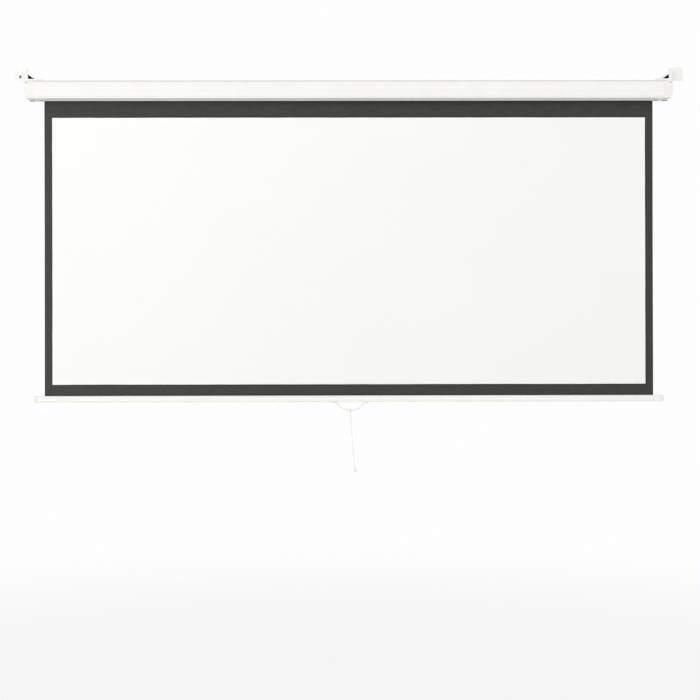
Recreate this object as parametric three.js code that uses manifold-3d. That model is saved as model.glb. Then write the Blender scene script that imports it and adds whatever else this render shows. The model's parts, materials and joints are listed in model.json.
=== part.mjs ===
// Manual pull-down projector screen: a long wall case with a spring roller, a bordered sheet,
// a bottom bar, a swinging handle and a pull cord.
// Millimetres. X runs along the case, Y goes back to the wall and Z is up.
// The origin is on the wall, in the middle of the flat back of the case.
import * as THREE from "three";
import { mergeVertices } from "three/addons/utils/BufferGeometryUtils.js";
import Module from "manifold-3d";

const kernel = await Module();
kernel.setup();

// Overall sizes
const sheetWidth = 2271.5;
const sheetDrop = 1134; // from the roller's axis to the top of the bottom bar
const caseEndRoom = 64.25; // from each edge of the sheet to the end of the case
const caseHeight = 66;
const caseDepth = 72;
const barPast = 39.25; // how far the bottom bar runs past each edge of the sheet
const barHeight = 24;
const barDepth = 14;

// Fits
const seatGap = 0.3; // left between pieces that touch
const cutOver = 1; // how far a cutter runs past the face it opens

// Case section
const caseWall = 1;
const backCornerRadius = 3;
const frontCornerRadius = 9;
const creaseHeightShare = -0.06; // of the case's height, above its middle
const lowerBandSetBack = 3;
const lipSetBack = 1.2;
const lipHeight = 5.5;
const lipRise = 1.6;
const lipRadius = 1.8;
const slotAhead = 10; // from the sheet's plane to the front of its slot
const slotBehind = 8;

// End caps
const capLength = 32;
const capWall = 2.2;
const capEndWall = 5;
const capEndLean = 5; // how far the hollow's end leans in below the cradles
const capSpigotLength = 14;
const capSpigotWall = 2;
const capTaper = 6;
const capTopRadius = 4;
const capBottomRadius = 6;
const capTaperStart = 0; // height above the case's middle
const capNotchLength = 15; // in from the case's end
const capNotchHeight = 1.8;
const capNotchDepth = 3;
const capNotchShare = 0.36; // of the case's height, above its middle

// Roller
const rollerForward = 1; // of the middle of the case's depth
const tubeRadius = 19;
const tubeWall = 1;
const tubeLengthPast = 14; // past each edge of the sheet
const woundThick = 2.55; // of the sheet left on the tube
const plugFlangePast = 1.5; // beyond the tube's radius
const plugFlangeThick = 6;
const plugSpigotLength = 30;
const plugBoreRadius = 5;
const shaftRadius = 4;
const shaftReach = 400; // into the roller, past its spring-side end
const shaftFlatLength = 16;
const shaftFlatHeight = 8;
const shaftFlatDepth = 6;
const pinReachIn = 18;

// Shaft cradles
const cradleThick = 4;
const cradleShare = 0.5; // of the case height
const cradleCorner = 5;
const bushWall = 1.6;
const bushFlangeWall = 3;
const bushFlangeThick = 1.6;

// Ratchet and pawls
const ratchetThick = 5;
const ratchetTipRadius = 11;
const ratchetRootRadius = 8.6;
const ratchetTeeth = 8;
const pawlPinRadius = 1.5;
const pawlPinCircle = 15.5;
const pawlWidth = 4.6;
const pawlReach = 11;
const pawlTipRadius = 1.4;
const pawlInward = 28; // degrees in from square to the roller's axis, just clear of the teeth
const pawlOutward = 12;

// Roller spring
const springWireRadius = 1.2;
const springMeanRadius = 9.6;
const springTurns = 18;
const springSteps = 12; // a turn
const springSides = 6;
const springAnchorThick = 10;
const springAnchorRadius = 14;

// Sheet
const sheetThick = 0.45;
const hemReach = 6; // into the bottom bar
const hemRodRadius = 2.8;

// Bottom bar
const barWall = 1.3;
const barCorner = 5.5;
const barSlot = 1.3;
const barCapLength = 12;
const barCapSpigotLength = 12;
const barCapSpigotWall = 2.4;

// Wall brackets
const bracketThick = 2;
const earWidth = 52;
const earHeight = 50;
const earRise = 10; // of its lower edge above the case
const earCorner = 4;
const earHoleAcross = 28; // from the case's end
const earHoleRise = 26; // above the case
const earHoleRadius = 3.2;
const plugLip = 1;
const plugLipThick = 1.4;
const plugDimpleRadius = 1.2;
const plugDimpleDepth = 0.8;
const gussetRise = 45; // of its outer corner above the case
const gussetReach = 63; // in from the case's end
const gussetDepth = 36;
const gussetSideRim = 10; // left beside its mouth
const gussetSlopeRim = 8.2; // left above its mouth
const footDepth = 40;
const footLipRise = 11;
const sideFlangeDrop = 19; // down the case's end
const footScrewDepth = 20;
const footScrewReaches = [18, 52]; // in from the case's end
const sideScrewDrop = 9; // below the top of the case
const sideScrewDepth = 22;

// Screws
const panHeadRadius = 4.2;
const panHeadHeight = 2.4;
const panShankRadius = 1.7;
const panShankLength = 10;
const panHoleRadius = 2.1;
const driveRadius = 1.7;
const driveDepth = 1.2;
const capScrewReaches = [15.5, 25]; // in from the case's end
const capScrewDepth = 18;

// Handle
const handleOffset = 4; // along the bar, from its middle
const handleHalfWidth = 48.5;
const handleDrop = 33; // below the bar
const handleRodRadius = 2.5;
const handleSides = 10;
const handleArcSteps = 22;
const handleTurnRadius = 4;
const handleTurnSteps = 3;
const pivotDrop = 5.7; // from the bar to the handle's pivot
const lugWidth = 8;
const lugDepth = 9;
const lugBelowPivot = 4;
const lugInner = 50; // from the handle's middle
const lugFootLength = 9;
const lugFootThick = 2;
const lugScrewPast = 4.6; // beyond the lug's outer face
const lugHeadRadius = 3;
const lugHeadHeight = 1.8;
const lugShankRadius = 1.5;
const lugShankLength = 7;

// Pull cord, as points across and down from its knot
const cordRadius = 1.5;
const cordSides = 8;
const cordSteps = 30;
const cordRoute = [
  [0, 0],
  [0.4, -14],
  [1.2, -37],
  [2.8, -60],
  [4.8, -82],
  [6.8, -104],
  [8.6, -127],
  [10.2, -149],
  [12, -172],
  [14.2, -192],
  [17, -212],
];
const knotRadius = 3.6;
const loopSides = 18;
const bellLength = 24;
const bellTopRadius = 3.4;
const bellRadius = 6.2;
const bellBoreLength = 15;

// Round pieces
const roundSides = 32;
const fineSides = 20;
const cornerSteps = 5;
const fineCornerSteps = 10;
const leastCorner = 0.6; // radius

// Positions that follow from the sizes
const halfCase = sheetWidth / 2 + caseEndRoom;
const halfBar = sheetWidth / 2 + barPast;
const caseTop = caseHeight / 2;
const shellEnd = halfCase - capLength;
const rollerY = -(caseDepth / 2 + rollerForward);
const woundRadius = tubeRadius + woundThick;
const plugFlangeRadius = tubeRadius + plugFlangePast;
const tubeEnd = sheetWidth / 2 + tubeLengthPast;
const sheetNear = rollerY + woundRadius + seatGap;
const sheetY = sheetNear + sheetThick / 2;
const barTop = -sheetDrop;
const barBottom = barTop - barHeight;
const plugFace = tubeEnd + seatGap + plugFlangeThick;
const cradleOuter = halfCase - capEndWall - seatGap;
const cradleInner = cradleOuter - cradleThick;
const earBottom = caseTop + earRise;
const earTop = earBottom + earHeight;
const earHoleHeight = caseTop + earHoleRise;
const gussetTop = caseTop + gussetRise;
const sideFlangeBottom = caseTop - sideFlangeDrop;
const sideScrewHeight = caseTop - sideScrewDrop;
const footBottom = caseTop + seatGap;
const footTop = footBottom + bracketThick;
const pivotZ = barBottom - pivotDrop;
const knotZ = barBottom - handleDrop + handleRodRadius;

const finishes = {
  whiteEnamel: { color: 0xf4f3ef, roughness: 0.38, metalness: 0.0 },
  whitePlastic: { color: 0xf1efea, roughness: 0.45, metalness: 0.0 },
  creamEnamel: { color: 0xf5f2e9, roughness: 0.35, metalness: 0.0 },
  galvanised: { color: 0xb9bdbf, roughness: 0.42, metalness: 0.9 },
  darkSteel: { color: 0x2c2b2a, roughness: 0.5, metalness: 0.7 },
  springSteel: { color: 0x6f7276, roughness: 0.35, metalness: 0.9 },
  blackRubber: { color: 0x161616, roughness: 0.85, metalness: 0.0 },
  greyPlastic: { color: 0x8d8f90, roughness: 0.55, metalness: 0.0 },
  sheetCloth: { color: 0xfafaf8, roughness: 0.9, metalness: 0.0 },
  darkCloth: { color: 0x2f2f2e, roughness: 0.9, metalness: 0.0 },
  whiteCord: { color: 0xecebe6, roughness: 0.85, metalness: 0.0 },
};

// Basic shapes

// A solid for adding and cutting, from a closed geometry.
function solidFrom(geometry) {
  const bare = new THREE.BufferGeometry();
  const flat = geometry.index ? geometry.toNonIndexed() : geometry;
  bare.setAttribute("position", flat.getAttribute("position"));
  const merged = mergeVertices(bare, 1e-4);
  return new kernel.Manifold(
    new kernel.Mesh({
      numProp: 3,
      vertProperties: merged.attributes.position.array,
      triVerts: new Uint32Array(merged.index.array),
    }),
  );
}

function geometryFrom(solid) {
  const mesh = solid.getMesh();
  const geometry = new THREE.BufferGeometry();
  const positions = new THREE.BufferAttribute(mesh.vertProperties, 3);
  geometry.setAttribute("position", positions);
  geometry.setIndex(new THREE.BufferAttribute(mesh.triVerts, 1));
  const flat = geometry.toNonIndexed();
  flat.computeVertexNormals();
  return flat;
}

function join(...solids) {
  return solids.reduce((whole, next) => whole.add(next));
}

function cut(solid, ...cutters) {
  return cutters.reduce((rest, cutter) => rest.subtract(cutter), solid);
}

function box(x0, x1, y0, y1, z0, z1) {
  const geometry = new THREE.BoxGeometry(x1 - x0, y1 - y0, z1 - z0);
  geometry.translate((x0 + x1) / 2, (y0 + y1) / 2, (z0 + z1) / 2);
  return solidFrom(geometry);
}

function extruded(points, depth) {
  const shape = new THREE.Shape(points);
  return new THREE.ExtrudeGeometry(shape, { depth, bevelEnabled: false });
}

// An outline of [y, z] points, drawn out along X.
function alongX(points, x0, x1) {
  const geometry = extruded(points, x1 - x0);
  const turn = new THREE.Matrix4().makeBasis(
    new THREE.Vector3(0, 1, 0),
    new THREE.Vector3(0, 0, 1),
    new THREE.Vector3(1, 0, 0),
  );
  geometry.applyMatrix4(turn).translate(x0, 0, 0);
  return solidFrom(geometry);
}

// An outline of [x, z] points, drawn out along Y.
function alongY(points, y0, y1) {
  const geometry = extruded(points, y1 - y0);
  geometry.rotateX(Math.PI / 2).translate(0, y1, 0);
  return solidFrom(geometry);
}

function cylinderX(radius, x0, x1, y, z, sides = roundSides) {
  const geometry = new THREE.CylinderGeometry(radius, radius, x1 - x0, sides);
  geometry.rotateZ(-Math.PI / 2).translate((x0 + x1) / 2, y, z);
  return solidFrom(geometry);
}

function cylinderY(radius, y0, y1, x, z, sides = fineSides) {
  const geometry = new THREE.CylinderGeometry(radius, radius, y1 - y0, sides);
  geometry.translate(x, (y0 + y1) / 2, z);
  return solidFrom(geometry);
}

function cylinderZ(radius, z0, z1, x, y, sides = fineSides) {
  const geometry = new THREE.CylinderGeometry(radius, radius, z1 - z0, sides);
  geometry.rotateX(Math.PI / 2).translate(x, y, (z0 + z1) / 2);
  return solidFrom(geometry);
}

function areaOf(corners) {
  return corners.reduce((sum, [u, v], i) => {
    const [nextU, nextV] = corners[(i + 1) % corners.length];
    return sum + (u * nextV - nextU * v) / 2;
  }, 0);
}

// Corners [u, v, radius] moved in by a distance, with their radii reduced to suit.
function inset(corners, by) {
  const inward = areaOf(corners) > 0 ? by : -by;
  const count = corners.length;
  const edges = corners.map(([u, v], i) => {
    const [nextU, nextV] = corners[(i + 1) % count];
    const along = new THREE.Vector2(nextU - u, nextV - v).normalize();
    const from = new THREE.Vector2(u - along.y * inward, v + along.x * inward);
    return { from, along };
  });
  return corners.map(([, , radius], i) => {
    const a = edges[(i + count - 1) % count];
    const b = edges[i];
    const between = b.from.clone().sub(a.from);
    const reach = between.cross(b.along) / a.along.cross(b.along);
    const at = a.from.clone().addScaledVector(a.along, reach);
    return [at.x, at.y, radius > 0 ? Math.max(radius - by, leastCorner) : 0];
  });
}

// The points of an outline whose corners [u, v, radius] are rounded.
function rounded(corners, steps = cornerSteps) {
  const points = [];
  corners.forEach(([u, v, radius], i) => {
    const corner = new THREE.Vector2(u, v);
    if (!radius) {
      points.push(corner);
      return;
    }
    const [backU, backV] = corners[(i + corners.length - 1) % corners.length];
    const [nextU, nextV] = corners[(i + 1) % corners.length];
    const back = new THREE.Vector2(backU - u, backV - v).normalize();
    const next = new THREE.Vector2(nextU - u, nextV - v).normalize();
    const half = Math.acos(back.dot(next)) / 2;
    const start = corner.clone().addScaledVector(back, radius / Math.tan(half));
    const middle = back.clone().add(next).normalize();
    const centre = corner
      .clone()
      .addScaledVector(middle, radius / Math.sin(half));
    const sweep = (Math.PI - 2 * half) * Math.sign(next.cross(back));
    for (let step = 0; step <= steps; step += 1) {
      const angle = (sweep * step) / steps;
      points.push(start.clone().rotateAround(centre, angle));
    }
  });
  return points;
}

// A round rod of a given radius along a route, closed at both ends.
function sweptRod(route, radius, sides) {
  const positions = [];
  const index = [];
  let normal = new THREE.Vector3(0, 1, 0);
  route.forEach((point, i) => {
    const before = route[Math.max(i - 1, 0)];
    const after = route[Math.min(i + 1, route.length - 1)];
    const tangent = after.clone().sub(before).normalize();
    normal = normal.addScaledVector(tangent, -normal.dot(tangent)).normalize();
    const side = tangent.clone().cross(normal);
    for (let s = 0; s < sides; s += 1) {
      const angle = (2 * Math.PI * s) / sides;
      const vertex = point.clone();
      vertex.addScaledVector(normal, radius * Math.cos(angle));
      vertex.addScaledVector(side, radius * Math.sin(angle));
      positions.push(...vertex.toArray());
    }
  });
  for (let ring = 0; ring < route.length - 1; ring += 1) {
    for (let s = 0; s < sides; s += 1) {
      const a = ring * sides + s;
      const b = ring * sides + ((s + 1) % sides);
      index.push(a, b, b + sides, a, b + sides, a + sides);
    }
  }
  const last = (route.length - 1) * sides;
  for (let s = 1; s < sides - 1; s += 1) {
    index.push(0, s + 1, s);
    index.push(last, last + s, last + s + 1);
  }
  const geometry = new THREE.BufferGeometry();
  const coordinates = new THREE.Float32BufferAttribute(positions, 3);
  geometry.setAttribute("position", coordinates);
  geometry.setIndex(index);
  return solidFrom(geometry);
}

// A pan-head screw with its head at the start, pointing along a direction.
function panScrew(head, direction, sizes = {}) {
  const headRadius = sizes.headRadius ?? panHeadRadius;
  const headHeight = sizes.headHeight ?? panHeadHeight;
  const shankRadius = sizes.shankRadius ?? panShankRadius;
  const shankLength = sizes.shankLength ?? panShankLength;
  const profile = [
    new THREE.Vector2(0, 0),
    new THREE.Vector2(headRadius * 0.6, 0),
    new THREE.Vector2(headRadius, headHeight * 0.55),
    new THREE.Vector2(headRadius, headHeight),
    new THREE.Vector2(shankRadius, headHeight),
    new THREE.Vector2(shankRadius, headHeight + shankLength - shankRadius),
    new THREE.Vector2(0, headHeight + shankLength),
  ];
  const turned = solidFrom(new THREE.LatheGeometry(profile, fineSides));
  const recess = new THREE.CylinderGeometry(driveRadius, 0, driveDepth * 2, 6);
  const body = cut(turned, solidFrom(recess));
  const up = new THREE.Vector3(0, 1, 0);
  const turn = new THREE.Quaternion().setFromUnitVectors(up, direction);
  const place = new THREE.Matrix4().makeRotationFromQuaternion(turn);
  const geometry = geometryFrom(body).applyMatrix4(place);
  return solidFrom(geometry.translate(head.x, head.y, head.z));
}

const part = new THREE.Group();
part.name = "pull_down_screen";

// Turns a solid about a line along X.
function turnedAbout(solid, y, z, degrees) {
  const geometry = geometryFrom(solid).translate(0, -y, -z);
  geometry.rotateX((degrees * Math.PI) / 180).translate(0, y, z);
  return solidFrom(geometry);
}

function addNode(name, solid, finish) {
  const material = new THREE.MeshStandardMaterial(finishes[finish]);
  const mesh = new THREE.Mesh(geometryFrom(solid), material);
  mesh.name = name;
  part.add(mesh);
}

// Swaps the ends of a solid that was built on the right.
function mirroredTo(side, solid) {
  if (side > 0) return solid;
  const geometry = geometryFrom(solid);
  const positions = geometry.getAttribute("position");
  for (let i = 0; i < positions.count; i += 3) {
    for (const corner of [0, 1, 2]) {
      positions.setX(i + corner, -positions.getX(i + corner));
    }
    const held = new THREE.Vector3().fromBufferAttribute(positions, i);
    const other = new THREE.Vector3().fromBufferAttribute(positions, i + 1);
    positions.setXYZ(i, ...other.toArray());
    positions.setXYZ(i + 1, ...held.toArray());
  }
  return solidFrom(geometry);
}

// Case

function caseCorners() {
  const front = -caseDepth;
  return [
    [0, -caseTop, backCornerRadius],
    [front + lipSetBack, -caseTop, lipRadius],
    [front + lipSetBack, -caseTop + lipHeight, 0],
    [front + lowerBandSetBack, -caseTop + lipHeight + lipRise, 0],
    [front, caseHeight * creaseHeightShare, 0],
    [front, caseTop, frontCornerRadius],
    [0, caseTop, backCornerRadius],
  ];
}

// The plainer outline that the case and its caps are hollowed by, moved in by a wall.
function hollowOutline(wall) {
  const front = -caseDepth;
  const corners = [
    [0, -caseTop, backCornerRadius],
    [front + lowerBandSetBack, -caseTop, backCornerRadius],
    [front, caseHeight * creaseHeightShare, 0],
    [front, caseTop, frontCornerRadius],
    [0, caseTop, backCornerRadius],
  ];
  return rounded(inset(corners, wall));
}

function footScrewHoles(z0, z1) {
  return footScrewReaches.flatMap((reach) =>
    [-1, 1].map((side) =>
      cylinderZ(
        panHoleRadius,
        z0,
        z1,
        side * (halfCase - reach),
        -footScrewDepth,
      ),
    ),
  );
}

function caseOutline() {
  return rounded(caseCorners(), fineCornerSteps);
}

function caseShell() {
  const outer = alongX(caseOutline(), -shellEnd, shellEnd);
  const past = shellEnd + cutOver;
  const hollow = alongX(hollowOutline(caseWall), -past, past);
  const floorTop = -caseTop + caseWall + cutOver;
  const floorBottom = -caseTop - cutOver;
  const slotFront = sheetY - slotAhead;
  const slotBack = sheetY + slotBehind;
  const slot = box(-past, past, slotFront, slotBack, floorBottom, floorTop);
  const holeBottom = caseTop - caseWall - cutOver;
  const holes = footScrewHoles(holeBottom, caseTop + cutOver);
  return cut(outer, hollow, slot, ...holes);
}

// The end cap's shape as it is seen from the front.
function capSilhouette() {
  const start = shellEnd - capSpigotLength;
  const corners = [
    [start, -caseTop, 0],
    [halfCase - capTaper, -caseTop, capBottomRadius],
    [halfCase, capTaperStart, 0],
    [halfCase, caseTop, capTopRadius],
    [start, caseTop, 0],
  ];
  return rounded(corners, fineCornerSteps);
}

// The cap's hollow from the front: its end is upright behind the cradle and leans in below it.
function capHollowSide() {
  const start = shellEnd - capSpigotLength;
  const end = halfCase - capEndWall;
  const leanTop = (-caseHeight * cradleShare) / 2;
  const corner = (u, v) => new THREE.Vector2(u, v);
  return [
    corner(start, -caseTop),
    corner(end - capEndLean, -caseTop),
    corner(end, leanTop),
    corner(end, caseTop),
    corner(start, caseTop),
  ];
}

function endCap() {
  const inEnd = shellEnd + seatGap;
  const outer = alongX(caseOutline(), inEnd, halfCase);
  const side = alongY(capSilhouette(), -caseDepth - cutOver, cutOver);
  const hollowEnd = halfCase - capEndWall;
  const straight = alongX(hollowOutline(capWall), inEnd - cutOver, hollowEnd);
  const leaning = alongY(capHollowSide(), -caseDepth - cutOver, cutOver);
  const body = cut(outer.intersect(side), straight.intersect(leaning));
  const ringOut = hollowOutline(caseWall + seatGap);
  const ringIn = hollowOutline(caseWall + seatGap + capSpigotWall);
  const spigotStart = shellEnd - capSpigotLength;
  const ringEnd = inEnd + capSpigotWall;
  const ring = cut(
    alongX(ringOut, spigotStart, ringEnd),
    alongX(ringIn, spigotStart - cutOver, ringEnd + cutOver),
  );
  const cap = join(body, ring);
  const topHoles = footScrewHoles(
    caseTop - capWall - capSpigotWall - cutOver * 2,
    caseTop + cutOver,
  );
  const sideHole = cylinderX(
    panHoleRadius,
    halfCase - capEndWall - cutOver,
    halfCase + cutOver,
    -sideScrewDepth,
    sideScrewHeight,
    fineSides,
  );
  const bottomHoles = capScrewReaches.map((reach) =>
    cylinderZ(
      panHoleRadius,
      -caseTop - cutOver,
      -caseTop + capWall + capSpigotWall + cutOver,
      halfCase - reach,
      -capScrewDepth,
    ),
  );
  const notchHeight = caseHeight * capNotchShare;
  const notch = box(
    halfCase - capNotchLength,
    halfCase + cutOver,
    -caseDepth - cutOver,
    -caseDepth + capNotchDepth,
    notchHeight - capNotchHeight / 2,
    notchHeight + capNotchHeight / 2,
  );
  return cut(cap, ...topHoles, sideHole, ...bottomHoles, notch);
}

function capScrew(reach) {
  const z = -caseTop - seatGap - panHeadHeight;
  const head = new THREE.Vector3(halfCase - reach, -capScrewDepth, z);
  return panScrew(head, new THREE.Vector3(0, 0, 1));
}

function addCase() {
  addNode("case_shell", caseShell(), "whiteEnamel");
  for (const [side, word] of [
    [-1, "left"],
    [1, "right"],
  ]) {
    addNode(`${word}_end_cap`, mirroredTo(side, endCap()), "whitePlastic");
    capScrewReaches.forEach((reach, i) => {
      const screw = mirroredTo(side, capScrew(reach));
      addNode(`${word}_cap_screw_${"ab"[i]}`, screw, "darkSteel");
    });
  }
}

// Wall brackets

function earPlate() {
  const inner = halfCase + seatGap;
  const plate = alongY(
    rounded([
      [inner, earBottom, 0],
      [inner + earWidth, earBottom, earCorner],
      [inner + earWidth, earTop, earCorner],
      [inner, earTop, earCorner],
    ]),
    -bracketThick,
    0,
  );
  const holeX = halfCase + earHoleAcross;
  const hole = cylinderY(
    earHoleRadius,
    -bracketThick - cutOver,
    cutOver,
    holeX,
    earHoleHeight,
  );
  return cut(plate, hole);
}

// The hollow triangular arm above the case, open at the front within its rim.
function gusset() {
  const outer = halfCase + seatGap + bracketThick;
  const tip = halfCase - gussetReach;
  const slope = (gussetTop - footBottom) / (outer - tip);
  const triangle = (beside, above, low) => {
    const right = outer - beside;
    const lift = above * Math.hypot(1, slope);
    const bottom = footBottom + low;
    const left = tip + (low + lift) / slope;
    const top = footBottom + (right - tip) * slope - lift;
    const corner = (u, v) => new THREE.Vector2(u, v);
    return [corner(left, bottom), corner(right, bottom), corner(right, top)];
  };
  const block = alongY(triangle(0, 0, 0), -gussetDepth, 0);
  const inside = alongY(
    triangle(bracketThick, bracketThick, bracketThick),
    -gussetDepth + bracketThick,
    -bracketThick,
  );
  const mouth = alongY(
    triangle(gussetSideRim, gussetSlopeRim, bracketThick),
    -gussetDepth - cutOver,
    -bracketThick - cutOver,
  );
  return cut(block, inside, mouth);
}

function bracket() {
  const inner = halfCase + seatGap;
  const flange = box(
    inner,
    inner + bracketThick,
    -gussetDepth,
    0,
    sideFlangeBottom,
    gussetTop,
  );
  const foot = box(
    halfCase - gussetReach,
    inner + bracketThick,
    -footDepth,
    0,
    footBottom,
    footTop,
  );
  const lip = box(
    halfCase - gussetReach,
    inner + bracketThick,
    -footDepth,
    -footDepth + bracketThick,
    footBottom,
    footBottom + footLipRise,
  );
  const whole = join(earPlate(), gusset(), flange, foot, lip);
  const holes = footScrewHoles(footBottom - cutOver, footTop + cutOver);
  const driver = footScrewReaches.map((reach) =>
    cylinderZ(
      panHeadRadius + cutOver,
      footTop,
      earTop,
      halfCase - reach,
      -footScrewDepth,
    ),
  );
  const sideHole = cylinderX(
    panHoleRadius,
    inner - cutOver,
    inner + bracketThick + cutOver,
    -sideScrewDepth,
    sideScrewHeight,
    fineSides,
  );
  return cut(whole, ...holes, driver[1], sideHole);
}

function footScrew(reach) {
  const z = footTop + seatGap + panHeadHeight;
  const head = new THREE.Vector3(halfCase - reach, -footScrewDepth, z);
  return panScrew(head, new THREE.Vector3(0, 0, -1));
}

function sideScrew() {
  const face = halfCase + seatGap + bracketThick;
  const x = face + seatGap + panHeadHeight;
  const head = new THREE.Vector3(x, -sideScrewDepth, sideScrewHeight);
  return panScrew(head, new THREE.Vector3(-1, 0, 0));
}

function earPlug() {
  const x = halfCase + earHoleAcross;
  const back = -bracketThick - seatGap;
  const front = back - plugLipThick;
  const neckRadius = earHoleRadius - seatGap;
  const lipRadius = earHoleRadius + plugLip;
  const neck = cylinderY(neckRadius, back - cutOver / 2, 0, x, earHoleHeight);
  const lip = cylinderY(lipRadius, front, back, x, earHoleHeight);
  const dimple = cylinderY(
    plugDimpleRadius,
    front - cutOver,
    front + plugDimpleDepth,
    x,
    earHoleHeight,
  );
  return cut(join(neck, lip), dimple);
}

function addBrackets() {
  for (const [side, word] of [
    [-1, "left"],
    [1, "right"],
  ]) {
    addNode(`${word}_wall_bracket`, mirroredTo(side, bracket()), "whiteEnamel");
    addNode(`${word}_side_screw`, mirroredTo(side, sideScrew()), "darkSteel");
    footScrewReaches.forEach((reach, i) => {
      const screw = mirroredTo(side, footScrew(reach));
      addNode(`${word}_foot_screw_${"ab"[i]}`, screw, "galvanised");
    });
  }
  addNode("left_ear_plug", mirroredTo(-1, earPlug()), "blackRubber");
}

// Shaft supports in the end caps

function cradlePlate(hole) {
  const half = (caseHeight * cradleShare) / 2;
  const outline = rounded([
    [rollerY - half, -half, cradleCorner],
    [rollerY + half, -half, cradleCorner],
    [rollerY + half, half, cradleCorner],
    [rollerY - half, half, cradleCorner],
  ]);
  return cut(alongX(outline, cradleInner, cradleOuter), hole);
}

function shaftCradle() {
  const halfDepth = shaftFlatDepth / 2 + seatGap;
  const halfHeight = shaftFlatHeight / 2 + seatGap;
  const keyed = box(
    cradleInner - cutOver,
    cradleOuter + cutOver,
    rollerY - halfDepth,
    rollerY + halfDepth,
    -halfHeight,
    halfHeight,
  );
  return mirroredTo(-1, cradlePlate(keyed));
}

function pinCradle() {
  const radius = shaftRadius + bushWall + seatGap * 2;
  const x0 = cradleInner - cutOver;
  const x1 = cradleOuter + cutOver;
  return cradlePlate(cylinderX(radius, x0, x1, rollerY, 0));
}

function pinBush() {
  const radius = shaftRadius + bushWall + seatGap;
  const sleeve = cylinderX(radius, cradleInner - cutOver, cradleOuter, rollerY, 0);
  const flangeEnd = cradleInner - seatGap;
  const flange = cylinderX(
    radius + bushFlangeWall,
    flangeEnd - bushFlangeThick,
    flangeEnd,
    rollerY,
    0,
  );
  const bore = cylinderX(
    shaftRadius + seatGap,
    flangeEnd - bushFlangeThick - cutOver,
    cradleOuter + cutOver,
    rollerY,
    0,
  );
  return cut(join(sleeve, flange), bore);
}

// Spring side of the roller

function springShaft() {
  const flatStart = cradleOuter - seatGap - shaftFlatLength;
  const end = -(tubeEnd - shaftReach);
  const round = cylinderX(shaftRadius, -flatStart - cutOver, end, rollerY, 0);
  const flat = box(
    -cradleOuter + seatGap,
    -flatStart,
    rollerY - shaftFlatDepth / 2,
    rollerY + shaftFlatDepth / 2,
    -shaftFlatHeight / 2,
    shaftFlatHeight / 2,
  );
  const trim = cylinderX(shaftRadius, -cradleOuter, end, rollerY, 0);
  return join(round, flat.intersect(trim));
}

function ratchetWheel() {
  const points = [];
  const share = (2 * Math.PI) / ratchetTeeth;
  for (let tooth = 0; tooth < ratchetTeeth; tooth += 1) {
    const at = tooth * share;
    for (const [radius, turn] of [
      [ratchetRootRadius, 0.05],
      [ratchetTipRadius, 0.12],
      [ratchetTipRadius, 0.62],
      [ratchetRootRadius, 0.95],
    ]) {
      const angle = at + turn * share;
      const y = rollerY + radius * Math.cos(angle);
      points.push(new THREE.Vector2(y, radius * Math.sin(angle)));
    }
  }
  const start = plugFace + seatGap * 2;
  const wheel = alongX(points, start, start + ratchetThick);
  const bore = cylinderX(
    shaftRadius + seatGap,
    start - cutOver,
    start + ratchetThick + cutOver,
    rollerY,
    0,
  );
  return mirroredTo(-1, cut(wheel, bore));
}

// Where a pawl turns: above the ratchet on one side of the roller's axis, or below on the other.
function pawlPivot(turn) {
  return new THREE.Vector2(rollerY, turn * pawlPinCircle);
}

// The upper pawl rests inward, near the teeth, and the lower one has dropped outward.
function pawl(turn) {
  const pivot = pawlPivot(turn);
  const half = pawlWidth / 2;
  const start = plugFace + seatGap * 2;
  const x1 = start + ratchetThick;
  const reach = pivot.x + turn * pawlReach;
  const eye = cylinderX(half, start, x1, pivot.x, pivot.y, fineSides);
  const arm = box(
    start,
    x1,
    Math.min(pivot.x, reach),
    Math.max(pivot.x, reach),
    pivot.y - half * 0.7,
    pivot.y + half * 0.7,
  );
  const tip = cylinderX(
    pawlTipRadius,
    start,
    x1,
    reach,
    pivot.y - turn * (half - pawlTipRadius),
    fineSides,
  );
  const hole = cylinderX(
    pawlPinRadius + seatGap,
    start - cutOver,
    x1 + cutOver,
    pivot.x,
    pivot.y,
    fineSides,
  );
  const level = cut(join(eye, arm, tip), hole);
  const rest = turn > 0 ? -pawlInward : pawlOutward;
  return mirroredTo(-1, turnedAbout(level, pivot.x, pivot.y, rest));
}

function pawlPin(turn) {
  const pivot = pawlPivot(turn);
  const end = plugFace + seatGap * 3 + ratchetThick;
  const x0 = plugFace + seatGap;
  const shank = cylinderX(pawlPinRadius, x0, end, pivot.x, pivot.y, fineSides);
  const head = cylinderX(
    pawlPinRadius + cutOver,
    end,
    end + bushFlangeThick,
    pivot.x,
    pivot.y,
    fineSides,
  );
  return mirroredTo(-1, join(shank, head));
}

function springPath() {
  const endSpace = springWireRadius + seatGap;
  const start = tubeEnd - plugSpigotLength - endSpace;
  const anchorFace = tubeEnd - shaftReach + seatGap + springAnchorThick;
  const end = anchorFace + endSpace;
  const count = springTurns * springSteps;
  const route = [];
  for (let i = 0; i <= count; i += 1) {
    const angle = (2 * Math.PI * i) / springSteps;
    const x = -(start + ((end - start) * i) / count);
    const y = rollerY + springMeanRadius * Math.cos(angle);
    route.push(new THREE.Vector3(x, y, springMeanRadius * Math.sin(angle)));
  }
  return route;
}

// The least space between turns, measured from point to point.
function leastTurnGap(route) {
  let least = Infinity;
  for (let i = 0; i < route.length; i += 1) {
    for (let j = i + springSteps / 2; j < route.length; j += 1) {
      least = Math.min(least, route[i].distanceTo(route[j]));
    }
  }
  return least - 2 * springWireRadius;
}

function springAnchor() {
  const x1 = -(tubeEnd - shaftReach) - seatGap;
  const x0 = x1 - springAnchorThick;
  const disc = cylinderX(springAnchorRadius, x0, x1, rollerY, 0);
  const bore = cylinderX(
    shaftRadius + seatGap,
    x0 - cutOver,
    x1 + cutOver,
    rollerY,
    0,
  );
  return cut(disc, bore);
}

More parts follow.
